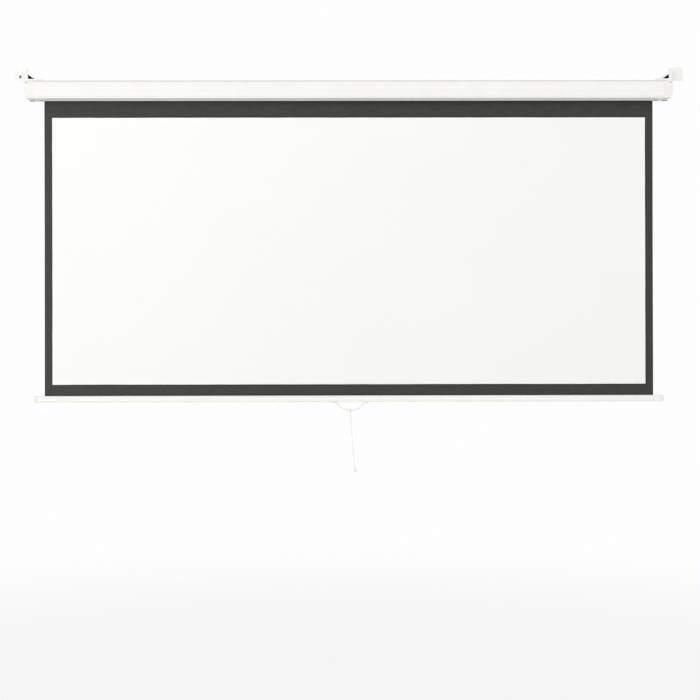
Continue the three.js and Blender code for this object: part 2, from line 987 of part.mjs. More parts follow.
function addSpringSide() {
  addNode("shaft_cradle", shaftCradle(), "galvanised");
  addNode("spring_shaft", springShaft(), "galvanised");
  addNode("ratchet_wheel", ratchetWheel(), "galvanised");
  [1, -1].forEach((turn, i) => {
    addNode(`pawl_${"ab"[i]}`, pawl(turn), "galvanised");
    addNode(`pawl_pin_${"ab"[i]}`, pawlPin(turn), "galvanised");
  });
  const route = springPath();
  const spring = sweptRod(route, springWireRadius, springSides);
  console.log("least gap between spring turns, mm:", leastTurnGap(route));
  addNode("roller_spring", spring, "springSteel");
  addNode("spring_anchor", springAnchor(), "greyPlastic");
}

// Roller

function rollerTube() {
  const outer = cylinderX(tubeRadius, -tubeEnd, tubeEnd, rollerY, 0);
  const past = tubeEnd + cutOver;
  return cut(outer, cylinderX(tubeRadius - tubeWall, -past, past, rollerY, 0));
}

function rollerPlug(boreRadius) {
  const flangeStart = tubeEnd + seatGap;
  const spigotRadius = tubeRadius - tubeWall - seatGap;
  const spigotStart = tubeEnd - plugSpigotLength;
  const flange = cylinderX(plugFlangeRadius, flangeStart, plugFace, rollerY, 0);
  const spigot = cylinderX(spigotRadius, spigotStart, plugFace, rollerY, 0);
  const bore = cylinderX(
    boreRadius,
    spigotStart - cutOver,
    plugFace + cutOver,
    rollerY,
    0,
  );
  return cut(join(flange, spigot), bore);
}

function idlerPin() {
  const start = tubeEnd - pinReachIn;
  const end = cradleOuter - seatGap;
  return cylinderX(shaftRadius, start, end, rollerY, 0);
}

function woundSheet() {
  const half = sheetWidth / 2;
  const outer = cylinderX(woundRadius, -half, half, rollerY, 0);
  const past = half + cutOver;
  const core = cylinderX(tubeRadius + seatGap, -past, past, rollerY, 0);
  return cut(outer, core);
}

function addRoller() {
  addNode("roller_tube", rollerTube(), "galvanised");
  const springPlug = mirroredTo(-1, rollerPlug(plugBoreRadius));
  addNode("left_roller_plug", springPlug, "greyPlastic");
  const idlerPlug = rollerPlug(shaftRadius + seatGap);
  addNode("right_roller_plug", idlerPlug, "greyPlastic");
  addNode("idler_pin", idlerPin(), "galvanised");
  addNode("wound_sheet", woundSheet(), "darkCloth");
  addNode("pin_cradle", pinCradle(), "galvanised");
  addNode("pin_bush", pinBush(), "whitePlastic");
}

// Sheet and bottom bar

function hangingSheet() {
  const half = sheetWidth / 2;
  const bottom = barTop - hemReach;
  return box(-half, half, sheetNear, sheetNear + sheetThick, bottom, 0);
}

function barCorners() {
  const front = sheetY - barDepth / 2;
  const back = sheetY + barDepth / 2;
  return [
    [front, barBottom, barCorner],
    [back, barBottom, barCorner],
    [back, barTop, barCorner],
    [front, barTop, barCorner],
  ];
}

function lugScrewPlace(side) {
  return handleOffset + side * (lugInner + lugWidth + lugScrewPast);
}

function lugScrewPlaces() {
  return [-1, 1].map((side) => lugScrewPlace(side));
}

function barTube() {
  const end = halfBar - barCapLength;
  const past = end + cutOver;
  const outer = alongX(rounded(barCorners()), -end, end);
  const hollow = alongX(rounded(inset(barCorners(), barWall)), -past, past);
  const slot = box(
    -past,
    past,
    sheetY - barSlot / 2,
    sheetY + barSlot / 2,
    barTop - barWall - cutOver,
    barTop + cutOver,
  );
  const holes = lugScrewPlaces().map((x) =>
    cylinderZ(
      lugShankRadius + seatGap,
      barBottom - cutOver,
      barBottom + barWall + cutOver,
      x,
      sheetY,
    ),
  );
  return cut(outer, hollow, slot, ...holes);
}

function barCap() {
  const end = halfBar;
  const start = end - barCapLength;
  const body = alongX(rounded(barCorners()), start + seatGap, end);
  const endRadius = barCapLength * 0.7;
  const silhouette = alongY(
    rounded([
      [start, barBottom, 0],
      [end, barBottom, endRadius],
      [end, barTop, endRadius],
      [start, barTop, 0],
    ]),
    sheetY - barDepth,
    sheetY + barDepth,
  );
  const plugOut = inset(barCorners(), barWall + seatGap);
  const plugIn = inset(barCorners(), barWall + seatGap + barCapSpigotWall);
  const plugStart = start - barCapSpigotLength;
  const plug = cut(
    alongX(rounded(plugOut), plugStart, start + cutOver),
    alongX(rounded(plugIn), plugStart - cutOver, start),
  );
  return join(body.intersect(silhouette), plug);
}

function hemRod() {
  const end = halfBar - barCapLength - barCapSpigotLength - seatGap;
  const z = barTop - hemReach - seatGap - hemRodRadius;
  return cylinderX(hemRodRadius, -end, end, sheetY, z, fineSides);
}

function addSheetAndBar() {
  addNode("screen_sheet", hangingSheet(), "sheetCloth");
  addNode("bottom_bar", barTube(), "creamEnamel");
  addNode("hem_rod", hemRod(), "greyPlastic");
  addNode("left_bar_cap", mirroredTo(-1, barCap()), "whitePlastic");
  addNode("right_bar_cap", barCap(), "whitePlastic");
}

// Handle

function handleLug(side) {
  const inner = lugInner;
  const outer = lugInner + lugWidth;
  const top = barBottom - seatGap;
  const halfDepth = lugDepth / 2;
  const place = (a, b) => {
    const ends = [handleOffset + side * a, handleOffset + side * b];
    return [Math.min(...ends), Math.max(...ends)];
  };
  const [x0, x1] = place(inner, outer);
  const block = box(
    x0,
    x1,
    sheetY - halfDepth,
    sheetY + halfDepth,
    pivotZ - lugBelowPivot,
    top,
  );
  const [f0, f1] = place(outer - cutOver, outer + lugFootLength);
  const foot = box(
    f0,
    f1,
    sheetY - halfDepth,
    sheetY + halfDepth,
    top - lugFootThick,
    top,
  );
  const bore = cylinderX(
    handleRodRadius + seatGap,
    x0 - cutOver,
    x1 + cutOver,
    sheetY,
    pivotZ,
    fineSides,
  );
  const screwHole = cylinderZ(
    lugShankRadius + seatGap,
    top - lugFootThick - cutOver,
    top + cutOver,
    lugScrewPlace(side),
    sheetY,
  );
  return cut(join(block, foot), bore, screwHole);
}

function lugScrew(side) {
  const x = lugScrewPlace(side);
  const under = barBottom - seatGap - lugFootThick - seatGap;
  const head = new THREE.Vector3(x, sheetY, under - lugHeadHeight);
  return panScrew(head, new THREE.Vector3(0, 0, 1), {
    headRadius: lugHeadRadius,
    headHeight: lugHeadHeight,
    shankRadius: lugShankRadius,
    shankLength: lugShankLength,
  });
}

// The middle line of the handle: an end turned out into each lug, and half an ellipse between.
function handleRoute() {
  const halfWidth = handleHalfWidth - handleRodRadius;
  const drop = pivotZ - knotZ;
  const at = (x, z) => new THREE.Vector3(handleOffset + x, sheetY, pivotZ + z);
  const startAngle = Math.asin(handleTurnRadius / drop);
  const sideX = halfWidth * Math.cos(startAngle);
  const side = [at(seatGap - lugInner - lugWidth, 0), at(-lugInner - lugWidth / 2, 0)];
  for (let step = 0; step <= handleTurnSteps; step += 1) {
    const angle = (Math.PI / 2) * (step / (handleTurnSteps + 1));
    const x = sideX + handleTurnRadius - handleTurnRadius * Math.sin(angle);
    side.push(at(-x, handleTurnRadius * (Math.cos(angle) - 1)));
  }
  const route = [...side];
  for (let step = 0; step <= handleArcSteps; step += 1) {
    const sweep = Math.PI - 2 * startAngle;
    const angle = startAngle + (sweep * step) / handleArcSteps;
    route.push(at(-halfWidth * Math.cos(angle), -drop * Math.sin(angle)));
  }
  side.reverse().forEach((point) => {
    route.push(new THREE.Vector3(2 * handleOffset - point.x, point.y, point.z));
  });
  return route;
}

function addHandle() {
  [-1, 1].forEach((side, i) => {
    const word = ["left", "right"][i];
    addNode(`${word}_handle_lug`, handleLug(side), "whitePlastic");
    addNode(`${word}_lug_screw`, lugScrew(side), "galvanised");
  });
  const handle = sweptRod(handleRoute(), handleRodRadius, handleSides);
  addNode("pull_handle", handle, "whitePlastic");
}

// Pull cord

function cordKnot() {
  const ringRadius = handleRodRadius + seatGap + cordRadius;
  const loop = new THREE.TorusGeometry(
    ringRadius,
    cordRadius,
    cordSides,
    loopSides,
  );
  loop.rotateY(Math.PI / 2).translate(handleOffset, sheetY, knotZ);
  const knot = new THREE.SphereGeometry(knotRadius, 12, 8);
  knot.translate(handleOffset, sheetY, knotZ - ringRadius - knotRadius / 2);
  const rod = cylinderX(
    handleRodRadius + seatGap,
    handleOffset - knotRadius * 2,
    handleOffset + knotRadius * 2,
    sheetY,
    knotZ,
  );
  return cut(join(solidFrom(loop), solidFrom(knot)), rod);
}

function cordStartZ() {
  const ringRadius = handleRodRadius + seatGap + cordRadius;
  return knotZ - ringRadius - knotRadius * 1.5 - seatGap;
}

function cordPath() {
  const top = cordStartZ();
  const points = cordRoute.map(
    ([across, down]) =>
      new THREE.Vector3(handleOffset + across, sheetY, top + down),
  );
  return new THREE.CatmullRomCurve3(points).getPoints(cordSteps);
}

function cordBell() {
  const bore = cordRadius + seatGap;
  const profile = [
    new THREE.Vector2(0, 0),
    new THREE.Vector2(bellTopRadius, 0),
    new THREE.Vector2(bellRadius, bellLength * 0.7),
    new THREE.Vector2(bellRadius, bellLength * 0.9),
    new THREE.Vector2(bellRadius * 0.8, bellLength),
    new THREE.Vector2(0, bellLength),
  ];
  profile.reverse();
  const turned = new THREE.LatheGeometry(profile, roundSides / 2);
  const shape = solidFrom(turned.scale(1, -1, 1));
  const cutter = new THREE.CylinderGeometry(bore, bore, bellBoreLength, fineSides);
  cutter.translate(0, -bellBoreLength / 2 + cutOver, 0);
  const body = geometryFrom(cut(shape, solidFrom(cutter)));
  const path = cordPath();
  const end = path[path.length - 1];
  const before = path[path.length - 2];
  const along = before.clone().sub(end).normalize();
  const up = new THREE.Vector3(0, 1, 0);
  const turn = new THREE.Quaternion().setFromUnitVectors(up, along);
  body.applyMatrix4(new THREE.Matrix4().makeRotationFromQuaternion(turn));
  const hang = end
    .clone()
    .addScaledVector(along, bellBoreLength - cutOver - seatGap);
  return solidFrom(body.translate(hang.x, hang.y, hang.z));
}

function addCord() {
  addNode("cord_knot", cordKnot(), "whiteCord");
  const cord = sweptRod(cordPath(), cordRadius, cordSides);
  addNode("pull_cord", cord, "whiteCord");
  addNode("cord_bell", cordBell(), "whitePlastic");
}

addCase();
addBrackets();
addSpringSide();
addRoller();
addSheetAndBar();
addHandle();
addCord();

export default part;
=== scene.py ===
import json
import math

import bmesh
import bpy
from bpy.props import FloatProperty, FloatVectorProperty, IntProperty, PointerProperty
from bpy.types import Operator, Panel, PropertyGroup
from mathutils import Matrix, Vector


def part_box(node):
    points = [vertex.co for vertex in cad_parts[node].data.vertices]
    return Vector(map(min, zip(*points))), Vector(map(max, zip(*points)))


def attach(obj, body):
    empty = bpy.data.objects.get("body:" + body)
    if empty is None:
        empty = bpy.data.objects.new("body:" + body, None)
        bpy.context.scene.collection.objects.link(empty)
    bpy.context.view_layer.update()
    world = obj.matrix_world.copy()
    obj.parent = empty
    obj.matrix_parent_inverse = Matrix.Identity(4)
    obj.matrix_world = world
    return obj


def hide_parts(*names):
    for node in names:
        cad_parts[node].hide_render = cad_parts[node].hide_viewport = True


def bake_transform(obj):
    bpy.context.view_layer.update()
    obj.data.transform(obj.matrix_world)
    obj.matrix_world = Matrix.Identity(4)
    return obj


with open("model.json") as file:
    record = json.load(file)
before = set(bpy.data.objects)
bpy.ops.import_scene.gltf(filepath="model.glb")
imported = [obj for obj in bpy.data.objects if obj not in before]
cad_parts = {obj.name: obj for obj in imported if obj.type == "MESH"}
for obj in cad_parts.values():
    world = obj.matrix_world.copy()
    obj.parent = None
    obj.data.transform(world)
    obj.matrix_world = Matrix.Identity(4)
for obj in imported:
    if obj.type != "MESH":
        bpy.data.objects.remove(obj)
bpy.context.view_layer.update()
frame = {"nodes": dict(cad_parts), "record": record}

bl_info = {
    "name": "Pull-Down Screen Maker",
    "version": (1, 0, 0),
    "blender": (4, 5, 0),
    "location": "View3D > Sidebar > Pull-Down Screen",
    "description": "Dresses the frame of a manual pull-down projector screen",
    "category": "Add Mesh",
}

MM = 0.001

# Places that the frame gives, with the roller's axis at z = 0
SHEET_LOW, SHEET_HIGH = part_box("screen_sheet")
HANDLE_LOW, HANDLE_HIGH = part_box("pull_handle")
ROLL_LOW, ROLL_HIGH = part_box("wound_sheet")
TUBE_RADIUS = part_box("roller_tube")[1].z
CASE_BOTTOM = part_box("case_shell")[0].z
BAR_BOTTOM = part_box("bottom_bar")[0].z
SHEET_Y = (SHEET_LOW.y + SHEET_HIGH.y) / 2
SHEET_HALF = SHEET_HIGH.x
SHEET_WIDTH = 2 * SHEET_HALF
ROLL_Y = (ROLL_LOW.y + ROLL_HIGH.y) / 2
HANDLE_X = (HANDLE_LOW.x + HANDLE_HIGH.x) / 2

# The handle, with sizes that the part's source shares
ROD_RADIUS = 2.5 * MM
HANDLE_HALF_WIDTH = 48.5 * MM
HANDLE_NECK = 2 * MM
HANDLE_BEND = 4 * MM
PIVOT_Z = BAR_BOTTOM - 5.7 * MM
HANG_Z = BAR_BOTTOM - 33 * MM + ROD_RADIUS

# The cord, with the route and sizes that the part's source shares
CORD_RADIUS = 1.5 * MM
CORD_TOP = HANG_Z - 10 * MM
CORD_ROUTE = (
    (0.0, 0.0), (0.0004, -0.014), (0.0012, -0.037), (0.0028, -0.060), (0.0048, -0.082),
    (0.0068, -0.104), (0.0086, -0.127), (0.0102, -0.149), (0.0120, -0.172),
    (0.0142, -0.192), (0.0170, -0.212),
)

# The hitch: where it starts below the handle's rod, and its turns round rod and cord
HITCH_STARTS = (-9.8 * MM, -7.2 * MM)
HITCH_TURNS, HITCH_STEPS = 2, 20
LOOP_RADIUS, LOOP_SPREAD = 4.3 * MM, 1.55 * MM
WRAP_RADIUS, WRAP_TOP, WRAP_DROP = 2.05 * MM, -5.9 * MM, 2.9 * MM

# The end piece: how much of the cord it holds, and its outline in millimetres, which
# is the distance down from its top and the radius there
BELL_GRIP = 14.2 * MM
BELL_OUTLINE = (
    (14.0, 0.0), (14.0, 1.8), (0.0, 1.8), (-0.2, 2.3), (0.0, 3.0), (0.6, 3.4), (2.4, 3.7),
    (3.0, 3.6), (3.6, 3.8), (9.0, 4.8), (14.0, 5.7), (16.8, 6.1), (19.0, 6.2), (20.8, 6.1),
    (21.4, 5.9), (21.9, 6.0), (22.6, 5.8), (23.5, 5.1), (24.0, 3.8), (24.0, 0.0),
)

# The sheet: where the strip that rides with the bar starts, how much cloth is inside
# the bar, and how far the strip stops short of the frame's own sheet
LOWER_BORDER_TOP = -1.100
HEM_IN_BAR = 6 * MM
STRIP_SHORT = 0.5 * MM
# How far in the edges curl, and the waves: depth, radians across the sheet and phase
CURL_REACH = 55 * MM
CLOTH_WAVES = ((0.4 * MM, 19, 0.0), (0.3 * MM, 47, 1.3))

# A screw's measures, and the lug screws' own
SCREW_PARTS = ("Head Radius", "Head Height", "Shank Radius", "Shank Length")
LUG_SCREW = (3.0 * MM, 1.8 * MM, 1.5 * MM, 7.0 * MM)

# The hollow in a bracket's arm, whose inside faces are painted near black as painted shade: its
# front, back, outer wall and floor, and how far up a face of it may look
HOLLOW_FRONT, HOLLOW_BACK = -34.2 * MM, -1.8 * MM
HOLLOW_WALL, HOLLOW_FLOOR = 1200.7 * MM, 35.4 * MM
HOLLOW_LOOKS_UP = 0.1

# Where the camera stands, and its yaw, pitch and roll in degrees
CAMERA_PLACE = (-0.0268, -5.1735, -0.9721)
CAMERA_TURNS = (("Z", -0.327), ("X", 90.086), ("Z", -0.11))

# The lamp and the stage
LAMP_PLACE, LAMP_AIM = Vector((-2.5, -4.6, -0.3)), Vector((0.0, 0.0, -0.5))
LAMP_COLOUR, SKY_COLOUR = (1.0, 0.995, 0.985), (0.99, 0.995, 1.0)
BACKDROP_WHITE = (0.985, 0.985, 0.983)
FLOOR_PALE, FLOOR_GREY = (0.93, 0.93, 0.925), (0.91, 0.91, 0.905)
FLOOR_RADIUS = 14.0
# Where the floor starts to fade into plain white and where it is all white, and how
# much of it is white before that
FLOOR_FADE, FLOOR_WHITENESS = (2.6, 6.0), 0.80

# Noise: how it is stretched along x, y and z, its repeats per metre, its detail and
# its roughness
NOISES = {
    "clouds": (None, 9, 3, 0.55),
    "rubs": ((2, 60, 60), 3, 4, 0.6),
    "flecks": (None, 1500, 2, 0.5),
    "dust patches": (None, 45, 5, 0.65),
    "orange peel": (None, 520, 2, 0.45),
    "fine peel": (None, 2600, 1, 0.5),
    "moulding flow": ((25, 90, 60), 1, 3, 0.55),
    "scuffs": (None, 160, 4, 0.65),
    "moulded grain": (None, 900, 2, 0.5),
    "rolled lines": ((60, 1400, 1400), 1, 4, 0.6),
    "turned lines": ((1600, 1600, 160), 1, 4, 0.6),
    "metal patches": (None, 55, 3, 0.6),
    "bloom": (None, 420, 3, 0.6),
    "backing patches": (None, 6, 4, 0.6),
    "fuzz": (None, 1800, 2, 0.5),
    "print wander": (None, 7, 3, 0.5),
    "coating": ((0.8, 2.2, 1), 2, 3, 0.5),
    "ink mottle": ((14, 26, 1), 2, 5, 0.62),
    "ink streaks": ((9, 420, 1), 1, 3, 0.6),
    "beads": (None, 2600, 2, 0.55),
    "fibres": ((5200, 5200, 1100), 1, 3, 0.6),
    "grime": (None, 34, 3, 0.6),
    "floor speckle": (None, 300, 2, 0.5),
}
PITS_PER_METRE = 2400.0
SHEET_THREADS, BACKING_THREADS = 850, 900

# Metals: colour, second tint, roughness, the noise of their lines, and metalness
METALS = {
    "plated_steel": ((0.56, 0.575, 0.59), (0.60, 0.58, 0.50), 0.32, "rolled lines", 1.0),
    "dark_steel": ((0.050, 0.049, 0.047), (0.085, 0.08, 0.072), 0.42, "turned lines", 0.85),
    "spring_steel": ((0.30, 0.31, 0.33), (0.24, 0.20, 0.15), 0.34, "turned lines", 1.0),
}
GREY_MOULDING = (0.27, 0.275, 0.28)
RUBBER_BLACK, RUBBER_BLOOM = (0.012, 0.012, 0.012), (0.035, 0.034, 0.033)
# Near black for the inside of the brackets' hollows: painted shade
HOLLOW_SHADE_BLACK = (0.010, 0.0095, 0.009)

# The frame already has plain materials with the slots' own names.
FINISH_ENDING = "_finish"


# What a user would change


def a_number(name, default, description, unit="LENGTH"):
    return FloatProperty(name=name, description=description, default=default, unit=unit)


def a_colour(name, default, description):
    return FloatVectorProperty(name=name, description=description, default=default, subtype="COLOR")


class ScreenSheetSizes(PropertyGroup):
    """The cloth and what is printed on it."""

    top_border: a_number("Top Border", 0.0965, "Dark band from the roller's axis to the white area")
    side_border: a_number("Side Border", 0.0288, "Dark band along each side of the white area")
    lower_border: a_number("Lower Border", 0.042, "Dark band between the white area and the bar")
    edge_curl: a_number("Edge Curl", 0.0016, "How far the free side edges stand back halfway down")
    columns: IntProperty(name="Columns", default=160, min=8, description="Faces across the sheet")
    white: a_colour("White", (0.958, 0.956, 0.945), "Colour of the viewing surface")
    charcoal: a_colour("Charcoal", (0.0225, 0.0225, 0.0172), "Colour of the printed border")
    backing: a_colour("Backing", (0.022, 0.022, 0.022), "Colour of the back of the cloth")


class CaseFinishes(PropertyGroup):
    """Colours of the case, brackets, bar and mouldings."""

    enamel: a_colour("Enamel", (0.936, 0.928, 0.899), "Powder coat of the case and brackets")
    moulding: a_colour("Moulding", (0.912, 0.898, 0.868), "End caps, lugs and handle")
    bar_enamel: a_colour("Bar Enamel", (0.955, 0.945, 0.895), "Powder coat of the bottom bar")
    grain_depth: a_number("Grain Depth", 0.00006, "Height of the powder coat's orange peel")
    # Greys faces that look up: partly a dusty film, partly painted shade.
    dust_and_shade: FloatProperty(
        name="Dust And Shade", default=0.60, min=0.0, max=1.0, subtype="FACTOR",
        description="How thick dust lies on the case and brackets where they face up",
    )


class CordSizes(PropertyGroup):
    """The pull cord, its knot and its end piece."""

    strand_relief: a_number("Strand Relief", 0.00016, "How far the cord's strands stand out")
    strands: IntProperty(name="Strands", default=4, min=2, description="Strands wound each way")
    pitch: a_number("Pitch", 0.0095, "Length of cord in which a strand goes once round")
    colour: a_colour("Colour", (0.900, 0.890, 0.860), "Colour of the braided yarn")


class ScrewSizes(PropertyGroup):
    """Pan-head screws with a cross recess."""

    head_radius: a_number("Head Radius", 0.0042, "Radius of the larger screws' heads")
    head_height: a_number("Head Height", 0.0024, "Height of the larger screws' heads")
    shank_radius: a_number("Shank Radius", 0.0017, "Radius of the larger screws' shanks")
    shank_length: a_number("Shank Length", 0.010, "Length of the larger screws' shanks")


class SlotHemSizes(PropertyGroup):
    """Folded edges of the slot under the case."""

    slot_ahead: a_number("Slot Ahead", 0.010, "From the sheet forward to the slot's front edge")
    slot_behind: a_number("Slot Behind", 0.008, "From the sheet back to the slot's back edge")
    thickness: a_number("Thickness", 0.0016, "Thickness of a hem folded from two layers of steel")
    height: a_number("Height", 0.0022, "How far a hem hangs below the case")
    sunk: a_number("Sunk", 0.0004, "How far a hem reaches up into the case's wall")
    past: a_number("Past", 0.002, "How far a hem runs past each edge of the sheet")


class StageSizes(PropertyGroup):
    """Camera, floor and light."""

    lens: a_number("Lens", 71.05, "Focal length in millimetres on a 36 mm wide sensor", "NONE")
    floor_height: a_number("Floor Height", -2.42, "Height of the floor in the part's frame")
    key_power: a_number("Key Power", 32.5, "Power of the large soft lamp on the left", "POWER")
    key_size: a_number("Key Size", 2.2, "Side of the soft lamp")
    sky: a_number("Sky", 1.44, "Strength of the even light from the sides and below", "NONE")
    overhead: a_number("Overhead Share", 0.25, "Share of that light from straight above", "NONE")


# Node helpers


def connect(tree, socket, value):
    """Feeds a socket from another node's output, or sets its value."""
    if isinstance(value, bpy.types.NodeSocket):
        tree.links.new(value, socket)
    else:
        socket.default_value = value


def add(tree, kind, feeds=None, **settings):
    """Adds a node with its settings, and feeds its inputs."""
    node = tree.nodes.new(kind)
    for name, value in settings.items():
        setattr(node, name, value)
    for key, value in (feeds or {}).items():
        connect(tree, node.inputs[key], value)
    return node


def out_of(tree, kind, feeds=None, **settings):
    """Adds a node and gives its first output."""
    return add(tree, kind, feeds, **settings).outputs[0]


def maths(tree, operation, a, b=0.0, c=0.0):
    return out_of(tree, "ShaderNodeMath", {0: a, 1: b, 2: c}, operation=operation)


def times(tree, a, b):
    return maths(tree, "MULTIPLY", a, b)


def noise(tree, coords, name):
    """One of the named noises, from 0 to 1."""
    stretch, scale, detail, roughness = NOISES[name]
    if stretch:
        coords = out_of(tree, "ShaderNodeMapping", {"Vector": coords, "Scale": stretch})
    feeds = {"Vector": coords, "Scale": scale, "Detail": detail, "Roughness": roughness}
    return out_of(tree, "ShaderNodeTexNoise", feeds)


def between(tree, value, low, high, bottom=0.0, top=1.0, smooth=False):
    """Takes value from the range low..high to the range bottom..top."""
    ends = {"From Min": low, "From Max": high, "To Min": bottom, "To Max": top}
    kind = "SMOOTHSTEP" if smooth else "LINEAR"
    return out_of(tree, "ShaderNodeMapRange", {"Value": value, **ends}, interpolation_type=kind)


def tinted(tree, share, first, second):
    """A colour from first to second by share."""
    node = add(tree, "ShaderNodeMix", data_type="RGBA")
    for key, value in {"Factor": share, "A": first, "B": second}.items():
        socket = next(s for s in node.inputs if s.name == key and s.enabled)
        connect(tree, socket, (*value, 1.0) if isinstance(value, tuple) else value)
    return next(s for s in node.outputs if s.enabled)


def shade(colour, *shares):
    """A colour times one share, or times a share for each channel."""
    if len(shares) == 1:
        shares = shares * 3
    return tuple(c * share for c, share in zip(colour, shares))


def split(tree, vector):
    """The three numbers of a vector, by X, Y and Z."""
    return add(tree, "ShaderNodeSeparateXYZ", {"Vector": vector}).outputs


def object_coords(tree):
    return add(tree, "ShaderNodeTexCoord").outputs["Object"]


def new_finish(name, roughness=0.5, metallic=0.0, specular=0.5):
    """Makes a material with its even values set, and gives its tree and shader."""
    finish = bpy.data.materials.new(name + FINISH_ENDING)
    finish.use_nodes = True
    tree = finish.node_tree
    shader = tree.nodes["Principled BSDF"]
    values = {"Roughness": roughness, "Metallic": metallic, "Specular IOR Level": specular}
    for key, value in values.items():
        shader.inputs[key].default_value = value
    return tree, shader


def feed(tree, shader, colour, roughness, height, depth):
    """Feeds a shader its colour, its roughness and a relief of the given depth."""
    relief = out_of(tree, "ShaderNodeBump", {"Height": height, "Distance": depth})
    for key, source in {"Base Color": colour, "Roughness": roughness, "Normal": relief}.items():
        tree.links.new(source, shader.inputs[key])


# Finishes


def powder_coat(name, colour, grain, roughness, dust_and_shade=0.0):
    """Baked enamel: orange peel, a little unevenness, handling marks, and on top a dusty film that
    is partly painted shade.
    """
    tree, shader = new_finish(name, roughness, specular=0.28)
    place = object_coords(tree)
    cloudy = between(tree, noise(tree, place, "clouds"), 0.35, 0.7)
    base = tinted(tree, cloudy, colour, shade(colour, 0.985, 0.978, 0.955))
    flecks = between(tree, noise(tree, place, "flecks"), 0.70, 0.78, 0.0, 0.10)
    base = tinted(tree, flecks, base, shade(colour, 0.75))
    if dust_and_shade:
        # What faces up is greyed, less where it slopes: partly a dusty film, and partly painted
        # shade on the top faces and the rounded top edge.
        facing = add(tree, "ShaderNodeNewGeometry").outputs["Normal"]
        film = between(tree, split(tree, facing)["Z"], 0.10, 0.55, 0.0, dust_and_shade, smooth=True)
        patches = between(tree, noise(tree, place, "dust patches"), 0.3, 0.7, 0.65, 1.0)
        base = tinted(tree, times(tree, film, patches), base, shade(colour, 0.66))
    rubs = noise(tree, place, "rubs")
    rough = between(tree, rubs, 0.3, 0.7, roughness - 0.07, roughness + 0.09)
    peel = noise(tree, place, "orange peel")
    height = maths(tree, "MULTIPLY_ADD", noise(tree, place, "fine peel"), 0.25, peel)
    feed(tree, shader, base, rough, height, grain)


def moulded(name, colour, roughness=0.54):
    """Injection-moulded plastic: spark-eroded grain, flow streaks and a slight mottle."""
    tree, shader = new_finish(name, roughness, specular=0.35)
    place = object_coords(tree)
    flow = between(tree, noise(tree, place, "moulding flow"), 0.3, 0.7)
    base = tinted(tree, flow, colour, shade(colour, 0.98, 0.972, 0.95))
    scuffs = noise(tree, place, "scuffs")
    rough = between(tree, scuffs, 0.35, 0.72, roughness - 0.06, roughness + 0.1)
    feeds = {"Vector": place, "Scale": PITS_PER_METRE}
    pits = out_of(tree, "ShaderNodeTexVoronoi", feeds, feature="SMOOTH_F1")
    height = maths(tree, "MULTIPLY_ADD", noise(tree, place, "moulded grain"), 0.5, pits)
    feed(tree, shader, base, rough, height, 0.03 * MM)


def bare_metal(name, colour, tint, roughness, line_noise, metallic):
    """Metal with rolling or turning lines, tinted patches and small scratches."""
    tree, shader = new_finish(name, roughness, metallic)
    place = object_coords(tree)
    lines = noise(tree, place, line_noise)
    patches = between(tree, noise(tree, place, "metal patches"), 0.4, 0.72)
    base = tinted(tree, patches, colour, tint)
    scratches = between(tree, lines, 0.55, 0.85, 0.0, 0.35)
    base = tinted(tree, scratches, base, shade(colour, 0.6))
    rough = between(tree, lines, 0.25, 0.75, roughness - 0.08, roughness + 0.14)
    feed(tree, shader, base, rough, lines, 0.02 * MM)


def rubber(name, colour):
    """Matt rubber with bloom in its hollows."""
    tree, shader = new_finish(name, 0.82, specular=0.35)
    bloom = noise(tree, object_coords(tree), "bloom")
    base = tinted(tree, between(tree, bloom, 0.45, 0.8), colour, RUBBER_BLOOM)
    feed(tree, shader, base, between(tree, bloom, 0.3, 0.7, 0.74, 0.92), bloom, 0.04 * MM)


def woven_height(tree, across, along, threads):
    """Height of a plain weave: two rows of threads that pass over each other in turn."""
    turn = 2 * math.pi * threads
    warp, weft = [maths(tree, "SINE", times(tree, way, turn)) for way in (across, along)]
    return times(tree, warp, weft)


def woven_backing(name, colour, roughness=0.85):
    """Dark coated backing: fine weave under a thin coat, with dusty patches."""
    tree, shader = new_finish(name, roughness, specular=0.3)
    place = object_coords(tree)
    parts = split(tree, place)
    weave = woven_height(tree, parts["X"], parts["Z"], BACKING_THREADS)
    patches = between(tree, noise(tree, place, "backing patches"), 0.35, 0.75)
    fuzz = noise(tree, place, "fuzz")
    lint = between(tree, fuzz, 0.62, 0.8, 0.0, 0.30)
    base = tinted(tree, patches, colour, shade(colour, 1.5))
    base = tinted(tree, lint, base, shade(colour, 3.2))
    rough = between(tree, fuzz, 0.3, 0.7, roughness - 0.07, roughness + 0.07)
    height = maths(tree, "MULTIPLY_ADD", fuzz, 0.8, weave)
    feed(tree, shader, base, rough, height, 0.04 * MM)


